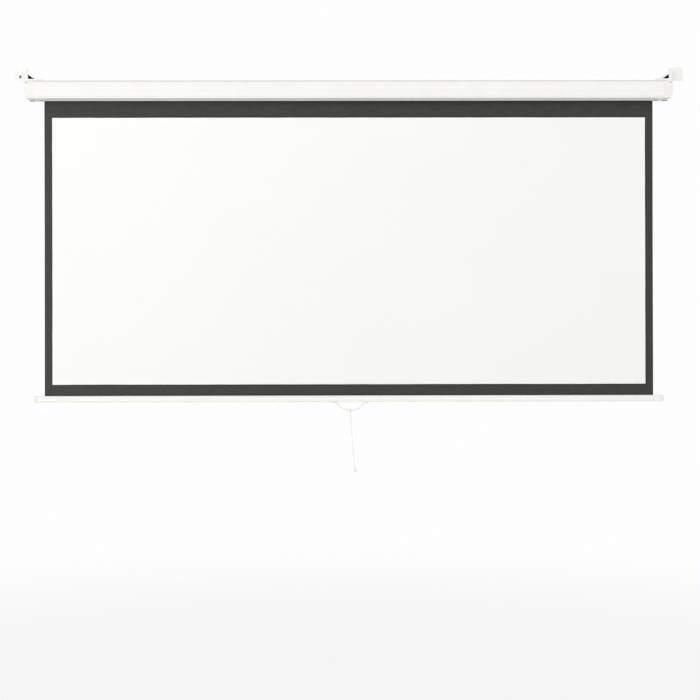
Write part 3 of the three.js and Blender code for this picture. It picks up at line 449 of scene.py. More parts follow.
def printed_sheet(name, sizes, length, above):
    """Matt white cloth with a charcoal border printed on it.

    The sheet's own map runs from 0 to 1 across and down, so that the border
    stretches with the sheet. above is how much cloth lies over this piece.
    """
    tree, shader = new_finish(name)
    parts = split(tree, out_of(tree, "ShaderNodeUVMap", uv_map="cloth"))
    across = times(tree, parts["X"], SHEET_WIDTH)
    down = maths(tree, "MULTIPLY_ADD", parts["Y"], length, above)
    cloth = out_of(tree, "ShaderNodeCombineXYZ", {"X": across, "Y": down})

    # The print's edge wanders a little. nearest is how far inside the white a point is.
    softness = wander = 0.5 * MM
    drift = between(tree, noise(tree, cloth, "print wander"), 0.25, 0.75, -wander, wander)
    middle = maths(tree, "SUBTRACT", across, SHEET_HALF)
    side = maths(tree, "SUBTRACT", SHEET_HALF, maths(tree, "ABSOLUTE", middle))
    lower = maths(tree, "SUBTRACT", -SHEET_LOW.z - HEM_IN_BAR, down)
    gaps = ((side, sizes.side_border), (down, sizes.top_border), (lower, sizes.lower_border))
    nearest = None
    for gap, border in gaps:
        past = maths(tree, "SUBTRACT", maths(tree, "ADD", gap, drift), border)
        nearest = past if nearest is None else maths(tree, "MINIMUM", nearest, past)
    inside = between(tree, nearest, -softness, softness, smooth=True)

    # The white is even, with the faintest shading from the coating's thickness.
    coating = between(tree, noise(tree, cloth, "coating"), 0.3, 0.75)
    white = tuple(sizes.white)
    white = tinted(tree, coating, white, shade(white, 0.988, 0.986, 0.978))

    mottle = noise(tree, cloth, "ink mottle")
    ink = maths(tree, "MULTIPLY_ADD", noise(tree, cloth, "ink streaks"), 0.35, mottle)
    ink = between(tree, ink, 0.45, 0.95)
    charcoal = sizes.charcoal
    black = tinted(tree, ink, shade(charcoal, 0.82), shade(charcoal, 1.28))
    # A thin, denser line of ink runs along the border's edge beside the white, and
    # another marks the weld of the hem, just above the bar.
    line = between(tree, nearest, -6.0 * MM, -3.5 * MM, smooth=True)
    line = times(tree, line, between(tree, nearest, -0.8 * MM, 0.0, 1.0, 0.0))
    weld = between(tree, maths(tree, "ADD", lower, drift), 3.6 * MM, 6.0 * MM, 1.0, 0.0)
    line = times(tree, maths(tree, "MAXIMUM", line, weld), 0.90)
    black = tinted(tree, line, black, shade(charcoal, 0.15))

    beads = noise(tree, cloth, "beads")
    weave = woven_height(tree, across, down, SHEET_THREADS)
    height = maths(tree, "MULTIPLY_ADD", beads, 0.7, weave)
    rough = between(tree, beads, 0.3, 0.7, 0.46, 0.58)
    feed(tree, shader, tinted(tree, inside, black, white), rough, height, 0.03 * MM)


def braided_yarn(name, colour):
    """The pull cord's yarn: its hollows are painted darker as shade, and its fibres run along it.
    """
    tree, shader = new_finish(name, 0.8, specular=0.25)
    shader.inputs["Sheen Weight"].default_value = 0.25
    shader.inputs["Sheen Roughness"].default_value = 0.5
    depth = add(tree, "ShaderNodeAttribute", attribute_name="strand_height").outputs["Fac"]
    place = object_coords(tree)
    # Painted shade: the hollows between the strands are darker.
    hollows = between(tree, depth, 0.0, 0.6)
    base = tinted(tree, hollows, shade(colour, 0.70, 0.67, 0.60), colour)
    grime = between(tree, noise(tree, place, "grime"), 0.5, 0.85, 0.0, 0.5)
    base = tinted(tree, grime, base, shade(colour, 0.9))
    fibres = noise(tree, place, "fibres")
    feed(tree, shader, base, between(tree, fibres, 0.3, 0.7, 0.7, 0.9), fibres, 0.05 * MM)


def finish_named(name):
    return bpy.data.materials[name + FINISH_ENDING]


# Mesh and piece helpers


def placed(name, data):
    """A new object in the scene."""
    piece = bpy.data.objects.new(name, data)
    bpy.context.scene.collection.objects.link(piece)
    return piece


def keep(piece, body, slot, *nodes):
    """Puts a finished piece on its body, in place of CAD nodes. Its slot is not used."""
    if body:
        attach(piece, body)
    if nodes:
        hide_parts(*nodes)
    return piece


def piece_from(work, name, *finishes):
    """Turns bmesh work into a piece with the named finishes, and frees the work."""
    mesh = bpy.data.meshes.new(name)
    work.to_mesh(mesh)
    work.free()
    for finish in finishes:
        mesh.materials.append(finish_named(finish))
    return placed(name, mesh)


def smooth(piece, degrees):
    """Shades a piece smooth, but sharp where two faces meet at more than the angle."""
    mesh = piece.data
    for face in mesh.polygons:
        face.use_smooth = True
    work = bmesh.new()
    work.from_mesh(mesh)
    for edge in work.edges:
        if len(edge.link_faces) == 2 and edge.calc_face_angle() > math.radians(degrees):
            edge.smooth = False
    work.to_mesh(mesh)
    work.free()


def settled(carrier, tree, values):
    """The plain piece that a node tree makes of its carrier, which is then removed."""
    name = carrier.name
    modifier = carrier.modifiers.new(name, "NODES")
    modifier.node_group = tree
    for item in tree.interface.items_tree:
        if item.item_type == "SOCKET" and item.in_out == "INPUT" and item.name in values:
            modifier[item.identifier] = values[item.name]
    graph = bpy.context.evaluated_depsgraph_get()
    graph.update()
    mesh = bpy.data.meshes.new_from_object(carrier.evaluated_get(graph))
    mesh.name = name
    carrier.modifiers.remove(modifier)
    bpy.data.objects.remove(carrier)
    if not mesh.polygons:
        raise RuntimeError(f"the node tree made no faces for {name}")
    return placed(name, mesh)


def new_tree(name, lengths, counts=()):
    """An empty geometry tree, and its inputs: a geometry, lengths, counts and a material."""
    tree = bpy.data.node_groups.new(name, "GeometryNodeTree")
    face = tree.interface
    face.new_socket("Geometry", in_out="OUTPUT", socket_type="NodeSocketGeometry")
    inputs = {"Geometry": ("Geometry",), "Float": lengths, "Int": counts, "Material": ("Material",)}
    for kind, labels in inputs.items():
        for label in labels:
            face.new_socket(label, in_out="INPUT", socket_type="NodeSocket" + kind)
    return tree, add(tree, "NodeGroupInput").outputs


def end_tree(tree, geometry, material):
    """Ends a tree in Realize Instances and Set Material."""
    real = out_of(tree, "GeometryNodeRealizeInstances", {"Geometry": geometry})
    painted = out_of(tree, "GeometryNodeSetMaterial", {"Geometry": real, "Material": material})
    add(tree, "NodeGroupOutput", {"Geometry": painted})


def stored(tree, geometry, name, value):
    """A geometry that keeps a value at each point under a name."""
    kind = "GeometryNodeStoreNamedAttribute"
    feeds = {"Geometry": geometry, "Name": name, "Value": value}
    return out_of(tree, kind, feeds, data_type="FLOAT", domain="POINT")


def recalled(tree, name, data_type="FLOAT"):
    """The value that was kept under a name."""
    return out_of(tree, "GeometryNodeInputNamedAttribute", {"Name": name}, data_type=data_type)


def swept_along(tree, curve, profile):
    feeds = {"Curve": curve, "Profile Curve": profile, "Fill Caps": True}
    return out_of(tree, "GeometryNodeCurveToMesh", feeds)


def swept_cord_tree():
    """Sweeps a round or braided cord along a curve."""
    lengths = ("Radius", "Step", "Pitch", "Relief")
    tree, given = new_tree("Swept Cord", lengths, ("Sides", "Strands"))
    feeds = {"Curve": given["Geometry"], "Length": given["Step"]}
    even = out_of(tree, "GeometryNodeResampleCurve", feeds, mode="LENGTH")
    reach = add(tree, "GeometryNodeSplineParameter").outputs["Length"]
    feeds = {"Resolution": given["Sides"], "Radius": given["Radius"]}
    ring = out_of(tree, "GeometryNodeCurvePrimitiveCircle", feeds)
    turn = add(tree, "GeometryNodeSplineParameter").outputs["Factor"]
    route = stored(tree, even, "reach", reach)
    tube = swept_along(tree, route, stored(tree, ring, "turn", turn))
    wound = maths(tree, "DIVIDE", recalled(tree, "reach"), given["Pitch"])
    turn = recalled(tree, "turn")
    ridges = []
    for way in (1.0, -1.0):
        phase = maths(tree, "MULTIPLY_ADD", wound, way, turn)
        phase = times(tree, times(tree, phase, given["Strands"]), math.pi)
        ridges.append(maths(tree, "ABSOLUTE", maths(tree, "SINE", phase)))
    # Half of the height is the higher strand's, and half is the lower one's.
    high = times(tree, maths(tree, "MAXIMUM", *ridges), 0.5)
    height = maths(tree, "MULTIPLY_ADD", maths(tree, "MINIMUM", *ridges), 0.5, high)
    lift = times(tree, maths(tree, "SUBTRACT", height, 0.6), given["Relief"])
    feeds = {0: out_of(tree, "GeometryNodeInputNormal"), "Scale": lift}
    offset = out_of(tree, "ShaderNodeVectorMath", feeds, operation="SCALE")
    raised = out_of(tree, "GeometryNodeSetPosition", {"Geometry": tube, "Offset": offset})
    feeds = {"Geometry": stored(tree, raised, "strand_height", height)}
    even_shade = out_of(tree, "GeometryNodeSetShadeSmooth", feeds)
    end_tree(tree, even_shade, given["Material"])
    return tree


def pan_screw_tree():
    """Puts a pan-head screw with a cross recess on each point, along its axis attribute."""
    tree, given = new_tree("Pan Screws", SCREW_PARTS)
    radius, height, shank_radius, shank_length = [given[part] for part in SCREW_PARTS]

    def vector(x, y, z):
        return out_of(tree, "ShaderNodeCombineXYZ", {"X": x, "Y": y, "Z": z})

    def raised(mesh, up, scale=(1.0, 1.0, 1.0)):
        feeds = {"Geometry": mesh, "Translation": vector(0.0, 0.0, up), "Scale": scale}
        return out_of(tree, "GeometryNodeTransform", feeds)

    def cylinder(vertices, radius, depth):
        feeds = {"Vertices": vertices, "Radius": radius, "Depth": depth}
        return out_of(tree, "GeometryNodeMeshCylinder", feeds)

    def combined(operation, meshes, start=None):
        feeds = {"Mesh 1": start} if start else None
        node = add(tree, "GeometryNodeMeshBoolean", feeds, operation=operation)
        for mesh in meshes:
            tree.links.new(mesh, node.inputs["Mesh 2"])
        return node.outputs["Mesh"]

    # The crown is at z = 0 and the shank runs up the +Z axis.
    feeds = {"Segments": 40, "Rings": 24, "Radius": 1.0}
    ball = out_of(tree, "GeometryNodeMeshUVSphere", feeds)
    dome_height, dome_radius = times(tree, height, 1.45), times(tree, radius, 1.14)
    dome = raised(ball, dome_height, vector(dome_radius, dome_radius, dome_height))
    rim = raised(cylinder(40, radius, height), times(tree, height, 0.5))
    head = combined("INTERSECT", (dome, rim))
    long_side, short_side = times(tree, radius, 1.06), times(tree, radius, 0.27)
    depth = times(tree, height, 1.1)
    recess = []
    for x, y in ((long_side, short_side), (short_side, long_side)):
        recess.append(out_of(tree, "GeometryNodeMeshCube", {"Size": vector(x, y, depth)}))
    head = combined("DIFFERENCE", recess, head)
    middle = maths(tree, "MULTIPLY_ADD", shank_length, 0.5, height)
    shank = cylinder(24, shank_radius, shank_length)
    shank = raised(shank, maths(tree, "SUBTRACT", middle, 0.2 * MM))
    screw = combined("UNION", (head, shank))
    axis = recalled(tree, "axis", "FLOAT_VECTOR")
    turn = out_of(tree, "FunctionNodeAlignRotationToVector", {"Vector": axis}, axis="Z")
    feeds = {"Points": given["Geometry"], "Instance": screw, "Rotation": turn}
    screws = out_of(tree, "GeometryNodeInstanceOnPoints", feeds)
    end_tree(tree, screws, given["Material"])
    return tree


def wound_cloth_tree():
    """Winds a cloth into a roll: a flat spiral as thick as the cloth, swept to its width."""
    lengths = ("Inner Radius", "Outer Radius", "Turns", "Thickness", "Width")
    tree, given = new_tree("Wound Cloth", lengths)
    half = times(tree, given["Thickness"], 0.5)
    feeds = {
        "Resolution": 56,
        "Rotations": given["Turns"],
        "Start Radius": maths(tree, "ADD", given["Inner Radius"], half),
        "End Radius": maths(tree, "SUBTRACT", given["Outer Radius"], half),
        "Height": 0.0,
    }
    spiral = out_of(tree, "GeometryNodeCurveSpiral", feeds)
    upright = out_of(tree, "GeometryNodeSetCurveNormal", {"Curve": spiral}, mode="Z_UP")
    feeds = {"Width": given["Thickness"], "Height": given["Width"]}
    section = out_of(tree, "GeometryNodeCurvePrimitiveQuadrilateral", feeds)
    end_tree(tree, swept_along(tree, upright, section), given["Material"])
    return tree


# Operators


class SCREEN_OT_camera(Operator):
    """Places the camera where the photograph was taken from"""

    bl_idname = "pull_screen.camera"
    bl_label = "Place Camera"

    def execute(self, context):
        data = bpy.data.cameras.new("camera")
        data.lens = context.scene.stage_sizes.lens
        data.clip_end = 60
        stand = Matrix.Translation(CAMERA_PLACE)
        for way, degrees in CAMERA_TURNS:
            stand = stand @ Matrix.Rotation(math.radians(degrees), 4, way)
        camera = placed("camera", data)
        camera.matrix_world = stand
        context.scene.camera = camera
        return {"FINISHED"}


def cord_line():
    """The points of the cord's route, and two more between each pair on a smooth line."""
    points = [Vector((HANDLE_X + x, SHEET_Y, CORD_TOP + z)) for x, z in CORD_ROUTE]
    ends = [points[0] * 2 - points[1], *points, points[-1] * 2 - points[-2]]
    line = []
    for i in range(1, len(points)):
        a, b, c, d = ends[i - 1 : i + 3]
        for t in (0, 1 / 3, 2 / 3):
            bend = (a * 2 - b * 5 + c * 4 - d) * t * t + (b * 3 - a - c * 3 + d) * t * t * t
            line.append((b * 2 + (c - a) * t + bend) / 2)
    return [*line, points[-1]]


def knot_line():
    """Up from the cord, twice round the handle and twice round the cord itself."""
    centre = Vector((HANDLE_X, SHEET_Y, HANG_Z))
    steps = HITCH_TURNS * HITCH_STEPS
    loops, wraps = [], []
    for step in range(steps + 1):
        share, angle = step / steps, 2 * math.pi * step / HITCH_STEPS
        sine, cosine = math.sin(angle), math.cos(angle)
        across = (2 * share - 1) * LOOP_SPREAD
        loops.append((across, sine * LOOP_RADIUS, -cosine * LOOP_RADIUS))
        wraps.append((cosine * WRAP_RADIUS, sine * WRAP_RADIUS, WRAP_TOP - WRAP_DROP * share))
    starts = [(0, 0, start) for start in HITCH_STARTS]
    return [centre + Vector(place) for place in starts + loops + wraps]


def swept(name, line, body, slot, node, **values):
    """A cord or rod swept along a line as one piece, in place of a CAD node."""
    data = bpy.data.curves.new(name, "CURVE")
    data.dimensions = "3D"
    spline = data.splines.new("POLY")
    spline.points.add(len(line) - 1)
    for place, point in zip(spline.points, line):
        place.co = (*point, 1)
    tree = bpy.data.node_groups.get("Swept Cord") or swept_cord_tree()
    values["Material"] = finish_named(slot)
    return keep(settled(placed(name, data), tree, values), body, slot, node)


def turned_piece(name, outline, place, along, finish, sides=48):
    """A closed piece turned from an outline of (distance down the axis, radius)."""
    work = bmesh.new()
    rings = []
    for down, radius in outline:
        ring = []
        for i in range(sides if radius else 1):
            angle = 2 * math.pi * i / sides
            x, y = radius * MM * math.cos(angle), radius * MM * math.sin(angle)
            ring.append(work.verts.new((x, y, -down * MM)))
        rings.append(ring)
    for first, second in zip(rings, rings[1:]):
        for i in range(sides):
            j = (i + 1) % sides
            a = [first[i % len(first)], first[j % len(first)]]
            b = [second[j % len(second)], second[i % len(second)]]
            corners = list(dict.fromkeys(a + b))
            if len(corners) > 2:
                work.faces.new(corners)
    bmesh.ops.recalc_face_normals(work, faces=work.faces[:])
    turn = Vector((0, 0, 1)).rotation_difference(along).to_matrix().to_4x4()
    work.transform(Matrix.Translation(place) @ turn)
    piece = piece_from(work, name, finish)
    smooth(piece, 40)
    return piece


class SCREEN_OT_pull_cord(Operator):
    """Makes the braided cord, the knot that ties it to the handle and its end piece"""

    bl_idname = "pull_screen.pull_cord"
    bl_label = "Make Pull Cord"

    def execute(self, context):
        sizes = context.scene.cord_sizes
        line = cord_line()
        braid = {
            "Radius": CORD_RADIUS,
            "Sides": 28,
            "Step": 0.28 * MM,
            "Strands": sizes.strands,
            "Pitch": sizes.pitch,
            "Relief": sizes.strand_relief,
        }
        cord = swept("braided_cord", line, "cord", "white_cord", "pull_cord", **braid)
        knot = swept("cord_hitch", knot_line(), "cord", "white_cord", "cord_knot", **braid)
        along = (line[-2] - line[-1]).normalized()
        top = line[-1] + along * BELL_GRIP
        bell = turned_piece("cord_end_bell", BELL_OUTLINE, top, along, "white_moulding")
        keep(bell, "cord", "white_moulding", "cord_bell")
        return {"FINISHED"}


def cloth_piece(name, finish, heights, sizes, behind=lambda u, share: 0.0):
    """A thin closed piece of the sheet, with rows of points at the given heights.

    behind gives how far a point stands back from the plane between roller and bar.
    """
    top, length = heights[0], heights[0] - heights[-1]
    thick = (SHEET_HIGH.y - SHEET_LOW.y) / 2
    columns = sizes.columns
    work = bmesh.new()
    layer = work.loops.layers.uv.new("cloth")
    grids = []
    for side in (-1, 1):
        grid = []
        for height in heights:
            row, share = [], (top - height) / length
            for i in range(columns + 1):
                u = i / columns
                y = SHEET_Y + side * thick + behind(u, share)
                point = ((u - 0.5) * SHEET_WIDTH, y, height)
                row.append((work.verts.new(point), (u, share)))
            grid.append(row)
        grids.append(grid)
    front, back = grids

    def face(corners, index):
        made = work.faces.new([v for v, _ in corners])
        made.material_index = index
        made.smooth = True
        for loop, (_, place) in zip(made.loops, corners):
            loop[layer].uv = place

    last = len(heights) - 1
    for j in range(last):
        for i in range(columns):
            face((front[j][i], front[j + 1][i], front[j + 1][i + 1], front[j][i + 1]), 0)
            face((back[j][i], back[j][i + 1], back[j + 1][i + 1], back[j + 1][i]), 1)
        for i, order in ((0, 1), (columns, -1)):
            edge = (front[j][i], back[j][i], back[j + 1][i], front[j + 1][i])
            face(edge[::order], 1)
    for i in range(columns):
        face((front[0][i], front[0][i + 1], back[0][i + 1], back[0][i]), 1)
        face((front[last][i], back[last][i], back[last][i + 1], front[last][i + 1]), 1)
    work.normal_update()
    for edge in work.edges:
        edge.smooth = edge.calc_face_angle(0) < math.radians(30)
    printed_sheet(finish, sizes, length, -top)
    return piece_from(work, name, finish, "dark_cloth")


class SCREEN_OT_sheet(Operator):
    """Makes the hanging sheet with its printed border, its lower strip and the roll"""

    bl_idname = "pull_screen.sheet"
    bl_label = "Make Sheet"

    def execute(self, context):
        sizes = context.scene.screen_sheet_sizes
        split_z = LOWER_BORDER_TOP

        def behind(u, share):
            # The sheet is flat at the roller and the bar. Halfway down its edges curl
            # back and its middle waves, and none of it comes forward, because the roll
            # is there when the sheet is drawn in.
            swell = 1 - abs(2 * share - 1)
            stand = math.exp(-min(u, 1 - u) * SHEET_WIDTH / CURL_REACH) * sizes.edge_curl
            for depth, turns, phase in CLOTH_WAVES:
                stand += depth * (1 + math.sin(u * turns + phase))
            return swell * stand

        heights = (0.0, split_z / 2, split_z)
        sheet = cloth_piece("viewing_sheet", "printed_cloth", heights, sizes, behind)
        keep(sheet, None, "screen_cloth", "screen_sheet")
        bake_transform(sheet)
        heights = (split_z, SHEET_LOW.z + STRIP_SHORT)
        strip = cloth_piece("lower_border", "printed_hem", heights, sizes)
        keep(strip, "bar", "screen_cloth", "screen_sheet")
        wound_roll()
        return {"FINISHED"}


def wound_roll():
    """The rest of the cloth, wound on the roller's tube."""
    values = {
        "Inner Radius": TUBE_RADIUS + 0.05 * MM,
        "Outer Radius": ROLL_HIGH.z,
        "Turns": 5.0,
        "Thickness": 0.42 * MM,
        "Width": ROLL_HIGH.x - ROLL_LOW.x,
        "Material": finish_named("dark_cloth"),
    }
    carrier = placed("wound_cloth", bpy.data.meshes.new("roll"))
    roll = settled(carrier, wound_cloth_tree(), values)
    # The spiral is made round Z, and the roller lies along X.
    upright = Matrix.Rotation(math.pi / 2, 4, "Y")
    roll.data.transform(Matrix.Translation((0, ROLL_Y, 0)) @ upright)
    smooth(roll, 35)
    return keep(roll, "roller", "dark_cloth", "wound_sheet")


def handle_line():
    """From lug to lug: two short ends turned out, joined by half an ellipse."""
    drop = PIVOT_Z - HANG_Z
    start = math.asin(HANDLE_BEND / drop)
    half_width = HANDLE_HALF_WIDTH - ROD_RADIUS
    side_x = half_width * math.cos(start)
    side = [(HANDLE_LOW.x - HANDLE_X, 0.0), (-side_x - HANDLE_BEND - HANDLE_NECK, 0.0)]
    bend_steps, arc_steps = 9, 48
    for step in range(bend_steps):
        angle = math.pi / 2 * step / bend_steps
        x = side_x + HANDLE_BEND - HANDLE_BEND * math.sin(angle)
        side.append((-x, HANDLE_BEND * (math.cos(angle) - 1)))
    arc = []
    for step in range(arc_steps + 1):
        angle = start + (math.pi - 2 * start) * step / arc_steps
        arc.append((-half_width * math.cos(angle), -drop * math.sin(angle)))
    flat = side + arc + [(-x, z) for x, z in reversed(side)]
    return [Vector((HANDLE_X + x, SHEET_Y, PIVOT_Z + z)) for x, z in flat]


class SCREEN_OT_handle(Operator):
    """Makes the smooth bail handle that swings in its two lugs"""

    bl_idname = "pull_screen.handle"
    bl_label = "Make Handle"

    def execute(self, context):
        rod = {"Radius": ROD_RADIUS, "Sides": 28, "Step": 1.2 * MM, "Relief": 0.0}
        swept("bail_handle", handle_line(), "handle", "white_moulding", "pull_handle", **rod)
        return {"FINISHED"}


def hem_piece(name, outline, middle, half_length):
    """A closed bar along the underside of the case with the given outline."""
    work = bmesh.new()
    ends = []
    for x in (-half_length, half_length):
        ends.append([work.verts.new((x, middle + y, CASE_BOTTOM + z)) for y, z in outline])
    left, right = ends
    for here in range(len(outline)):
        there = (here + 1) % len(outline)
        work.faces.new((left[here], left[there], right[there], right[here]))
    work.faces.new(left)
    work.faces.new(reversed(right))
    bmesh.ops.recalc_face_normals(work, faces=work.faces)
    piece = piece_from(work, name, "white_enamel")
    smooth(piece, 30)
    return piece


class SCREEN_OT_slot_hems(Operator):
    """Makes the folded hems that stiffen the two edges of the case's slot"""

    bl_idname = "pull_screen.slot_hems"
    bl_label = "Make Slot Hems"

    def execute(self, context):
        sizes = context.scene.slot_hem_sizes
        half = sizes.thickness / 2
        round_z, round_steps = half - sizes.height, 12
        outline = [(-half, sizes.sunk)]
        for step in range(round_steps + 1):
            angle = math.pi * step / round_steps
            outline.append((-half * math.cos(angle), round_z - half * math.sin(angle)))
        outline.append((half, sizes.sunk))
        front = SHEET_Y - sizes.slot_ahead - half
        back = SHEET_Y + sizes.slot_behind + half
        for name, middle in (("front_slot_hem", front), ("back_slot_hem", back)):
            hem = hem_piece(name, outline, middle, SHEET_HALF + sizes.past)
            keep(hem, "case", "white_enamel")
        return {"FINISHED"}


def screw_points(name, places):
    """An object of loose points, each with the direction of its screw."""
    mesh = bpy.data.meshes.new(name)
    mesh.from_pydata([place for place, _ in places], [], [])
    ways = mesh.attributes.new("axis", "FLOAT_VECTOR", "POINT")
    ways.data.foreach_set("vector", [c for _, way in places for c in way])
    return placed(name, mesh)


def screw_place(node):
    """The crown of a CAD screw and the way that its shank points."""
    low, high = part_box(node)
    middle, span = (low + high) / 2, high - low
    along = max(range(3), key=lambda i: span[i])

    def reach(point):
        away = point - middle
        away[along] = 0
        return away.length

    # The point that is farthest from the screw's axis is on its head.
    widest = max((v.co for v in frame["nodes"][node].data.vertices), key=reach)
    head_is_low = widest[along] < middle[along]
    crown, way = middle.copy(), Vector()
    crown[along] = low[along] if head_is_low else high[along]
    way[along] = 1 if head_is_low else -1
    return tuple(crown), tuple(way)


class SCREEN_OT_screws(Operator):
    """Makes the screws of the end caps, brackets and handle lugs"""

    bl_idname = "pull_screen.screws"
    bl_label = "Make Screws"

    def execute(self, context):
        sizes = context.scene.screw_sizes
        large = (sizes.head_radius, sizes.head_height, sizes.shank_radius, sizes.shank_length)
        cap_endings = ("cap_screw_a", "cap_screw_b", "side_screw")
        groups = (
            ("cap_screws", "case", "dark_steel", large, cap_endings),
            ("foot_screws", "case", "plated_steel", large, ("foot_screw_a", "foot_screw_b")),
            ("lug_screws", "bar", "plated_steel", LUG_SCREW, ("lug_screw",)),
        )
        tree = pan_screw_tree()
        for name, body, slot, measures, endings in groups:
            nodes = [f"{side}_{ending}" for ending in endings for side in ("left", "right")]
            carrier = screw_points(name, [screw_place(node) for node in nodes])
            values = dict(zip(SCREW_PARTS, measures), Material=finish_named(slot))
            piece = settled(carrier, tree, values)
            smooth(piece, 35)
            keep(piece, body, slot, *nodes)
        return {"FINISHED"}


def in_bracket_hollow(face, high):
    """True for a face inside the bracket's triangular arm."""
    centre = face.center
    return (
        face.normal.z < HOLLOW_LOOKS_UP
        and HOLLOW_FRONT < centre.y < HOLLOW_BACK
        and abs(centre.x) < HOLLOW_WALL
        and HOLLOW_FLOOR < centre.z < high.z
    )


class SCREEN_OT_frame_finishes(Operator):
    """Gives each visible piece of the frame the finish of its slot"""

    bl_idname = "pull_screen.frame_finishes"
    bl_label = "Finish Frame Pieces"

    def execute(self, context):
        slots = {row["node"]: row["material_slot"] for row in frame["record"]["subparts"]}
        for node, piece in frame["nodes"].items():
            if piece.hide_render:
                continue
            piece.data.materials.clear()
            piece.data.materials.append(finish_named(slots[node]))
            # The faces inside each bracket's arm get a near-black finish: painted shade for the
            # deep hollow.
            if node.endswith("wall_bracket"):
                piece.data.materials.append(finish_named("bracket_hollow_shade"))
                low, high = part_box(node)
                for face in piece.data.polygons:
                    face.material_index = int(in_bracket_hollow(face, high))
        return {"FINISHED"}


def bare_tree(owner):
    """The emptied node tree of a material or world."""
    owner.use_nodes = True
    owner.node_tree.nodes.clear()
    return owner.node_tree


def end_stage(tree, kind, lit, backdrop, share=1.0):
    """Lights the part with lit, and shows a share of backdrop where the stage is seen.

    It is seen by the camera, in a reflection or through clear material.
    """
    ray = add(tree, "ShaderNodeLightPath").outputs
    seen = maths(tree, "MAXIMUM", ray["Is Camera Ray"], ray["Is Glossy Ray"])
    seen = maths(tree, "MAXIMUM", seen, ray["Is Transmission Ray"])
    feeds = {0: times(tree, seen, share), 1: lit, 2: backdrop}
    add(tree, kind, {"Surface": out_of(tree, "ShaderNodeMixShader", feeds)})


def make_floor(height):
    work = bmesh.new()
    bmesh.ops.create_circle(work, cap_ends=True, radius=FLOOR_RADIUS, segments=96)
    floor = piece_from(work, "floor")
    floor.data.transform(Matrix.Translation((0, 0, height)))
    finish = bpy.data.materials.new("pale_floor")
    tree = bare_tree(finish)
    place = object_coords(tree)
    speckle = between(tree, noise(tree, place, "floor speckle"), 0.3, 0.7)
    colour = tinted(tree, speckle, FLOOR_PALE, FLOOR_GREY)
    matt = out_of(tree, "ShaderNodeBsdfDiffuse", {"Color": colour})
    white = out_of(tree, "ShaderNodeEmission", {"Color": (*BACKDROP_WHITE, 1.0)})
    away = add(tree, "ShaderNodeVectorMath", {0: place}, operation="LENGTH").outputs["Value"]
    share = between(tree, away, *FLOOR_FADE, FLOOR_WHITENESS, 1.0, smooth=True)
    end_stage(tree, "ShaderNodeOutputMaterial", matt, white, share)
    floor.data.materials.append(finish)


def make_sky(scene, strength, overhead):
    scene.world = bpy.data.worlds.new("even_light")
    tree = bare_tree(scene.world)
    # Less light comes from overhead than from the sides.
    way = add(tree, "ShaderNodeTexCoord").outputs["Generated"]
    height = split(tree, way)["Z"]
    level = between(tree, height, 0.0, 1.0, strength, strength * overhead, smooth=True)
    lights = []
    for colour, power in ((SKY_COLOUR, level), (BACKDROP_WHITE, 1.0)):
        feeds = {"Color": (*colour, 1.0), "Strength": power}
        lights.append(out_of(tree, "ShaderNodeBackground", feeds))
    end_stage(tree, "ShaderNodeOutputWorld", *lights)


def make_key_lamp(power, size):
    data = bpy.data.lights.new("key_lamp", "AREA")
    data.energy = power
    data.size = size
    data.color = LAMP_COLOUR
    lamp = placed("key_lamp", data)
    lamp.location = LAMP_PLACE
    lamp.rotation_mode = "QUATERNION"
    lamp.rotation_quaternion = (LAMP_PLACE - LAMP_AIM).to_track_quat("Z", "Y")


class SCREEN_OT_stage(Operator):
    """Makes the pale floor, the even light and the soft lamp"""

    bl_idname = "pull_screen.stage"
    bl_label = "Make Stage"

    def execute(self, context):
        sizes = context.scene.stage_sizes
        context.scene.view_settings.view_transform = "Standard"
        make_floor(sizes.floor_height)
        make_sky(context.scene, sizes.sky, sizes.overhead)
        make_key_lamp(sizes.key_power, sizes.key_size)
        return {"FINISHED"}


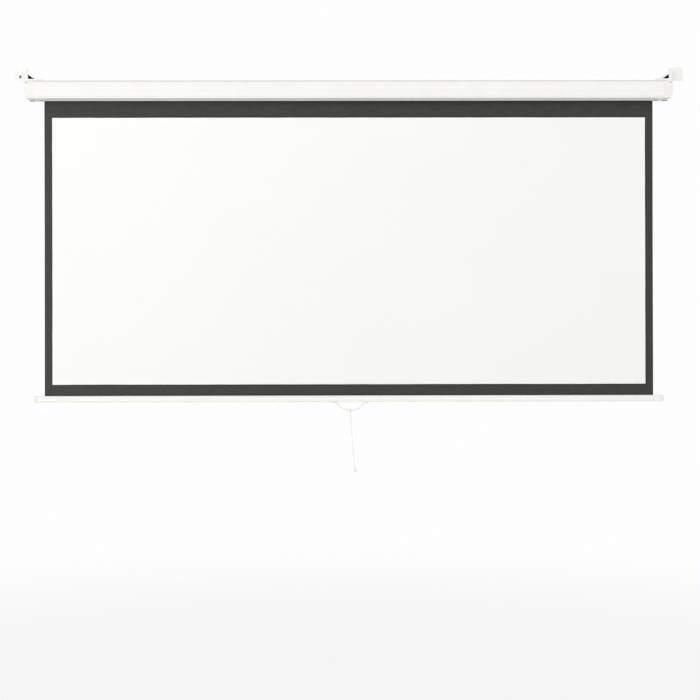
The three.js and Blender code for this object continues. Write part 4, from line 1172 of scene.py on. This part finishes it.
class SCREEN_OT_finishes(Operator):
    """Makes the materials of all the slots but the sheet's, and the painted shade inside the
    brackets' hollows
    """

    bl_idname = "pull_screen.finishes"
    bl_label = "Make Finishes"

    def execute(self, context):
        look, cloth = context.scene.case_finishes, context.scene.screen_sheet_sizes
        grain = look.grain_depth
        powder_coat("white_enamel", tuple(look.enamel), grain, 0.55, look.dust_and_shade)
        powder_coat("cream_enamel", tuple(look.bar_enamel), grain, 0.50)
        moulded("white_moulding", tuple(look.moulding))
        moulded("grey_moulding", GREY_MOULDING, 0.52)
        for slot, values in METALS.items():
            bare_metal(slot, *values)
        rubber("black_rubber", RUBBER_BLACK)
        # The brackets' hollows get the rubber finish in near black, as painted shade.
        rubber("bracket_hollow_shade", HOLLOW_SHADE_BLACK)
        woven_backing("dark_cloth", tuple(cloth.backing))
        braided_yarn("white_cord", tuple(context.scene.cord_sizes.colour))
        return {"FINISHED"}


STEPS = (
    SCREEN_OT_camera,
    SCREEN_OT_finishes,
    SCREEN_OT_pull_cord,
    SCREEN_OT_sheet,
    SCREEN_OT_handle,
    SCREEN_OT_slot_hems,
    SCREEN_OT_screws,
    SCREEN_OT_frame_finishes,
    SCREEN_OT_stage,
)


class SCREEN_PT_maker(Panel):
    """Lists the steps in the order in which they are run"""

    bl_idname = "SCREEN_PT_maker"
    bl_label = "Pull-Down Screen"
    bl_space_type = "VIEW_3D"
    bl_region_type = "UI"
    bl_category = "Pull-Down Screen"

    def draw(self, context):
        for step in STEPS:
            self.layout.operator(step.bl_idname)


GROUPS = {
    "screen_sheet_sizes": ScreenSheetSizes,
    "case_finishes": CaseFinishes,
    "cord_sizes": CordSizes,
    "screw_sizes": ScrewSizes,
    "slot_hem_sizes": SlotHemSizes,
    "stage_sizes": StageSizes,
}
CLASSES = (*GROUPS.values(), *STEPS, SCREEN_PT_maker)


def register():
    for kind in CLASSES:
        bpy.utils.register_class(kind)
    for name, group in GROUPS.items():
        setattr(bpy.types.Scene, name, PointerProperty(type=group))


def unregister():
    for name in GROUPS:
        delattr(bpy.types.Scene, name)
    for kind in reversed(CLASSES):
        bpy.utils.unregister_class(kind)


def main():
    register()
    for step in STEPS:
        category, name = step.bl_idname.split(".")
        getattr(getattr(bpy.ops, category), name)()


if __name__ == "__main__":
    main()
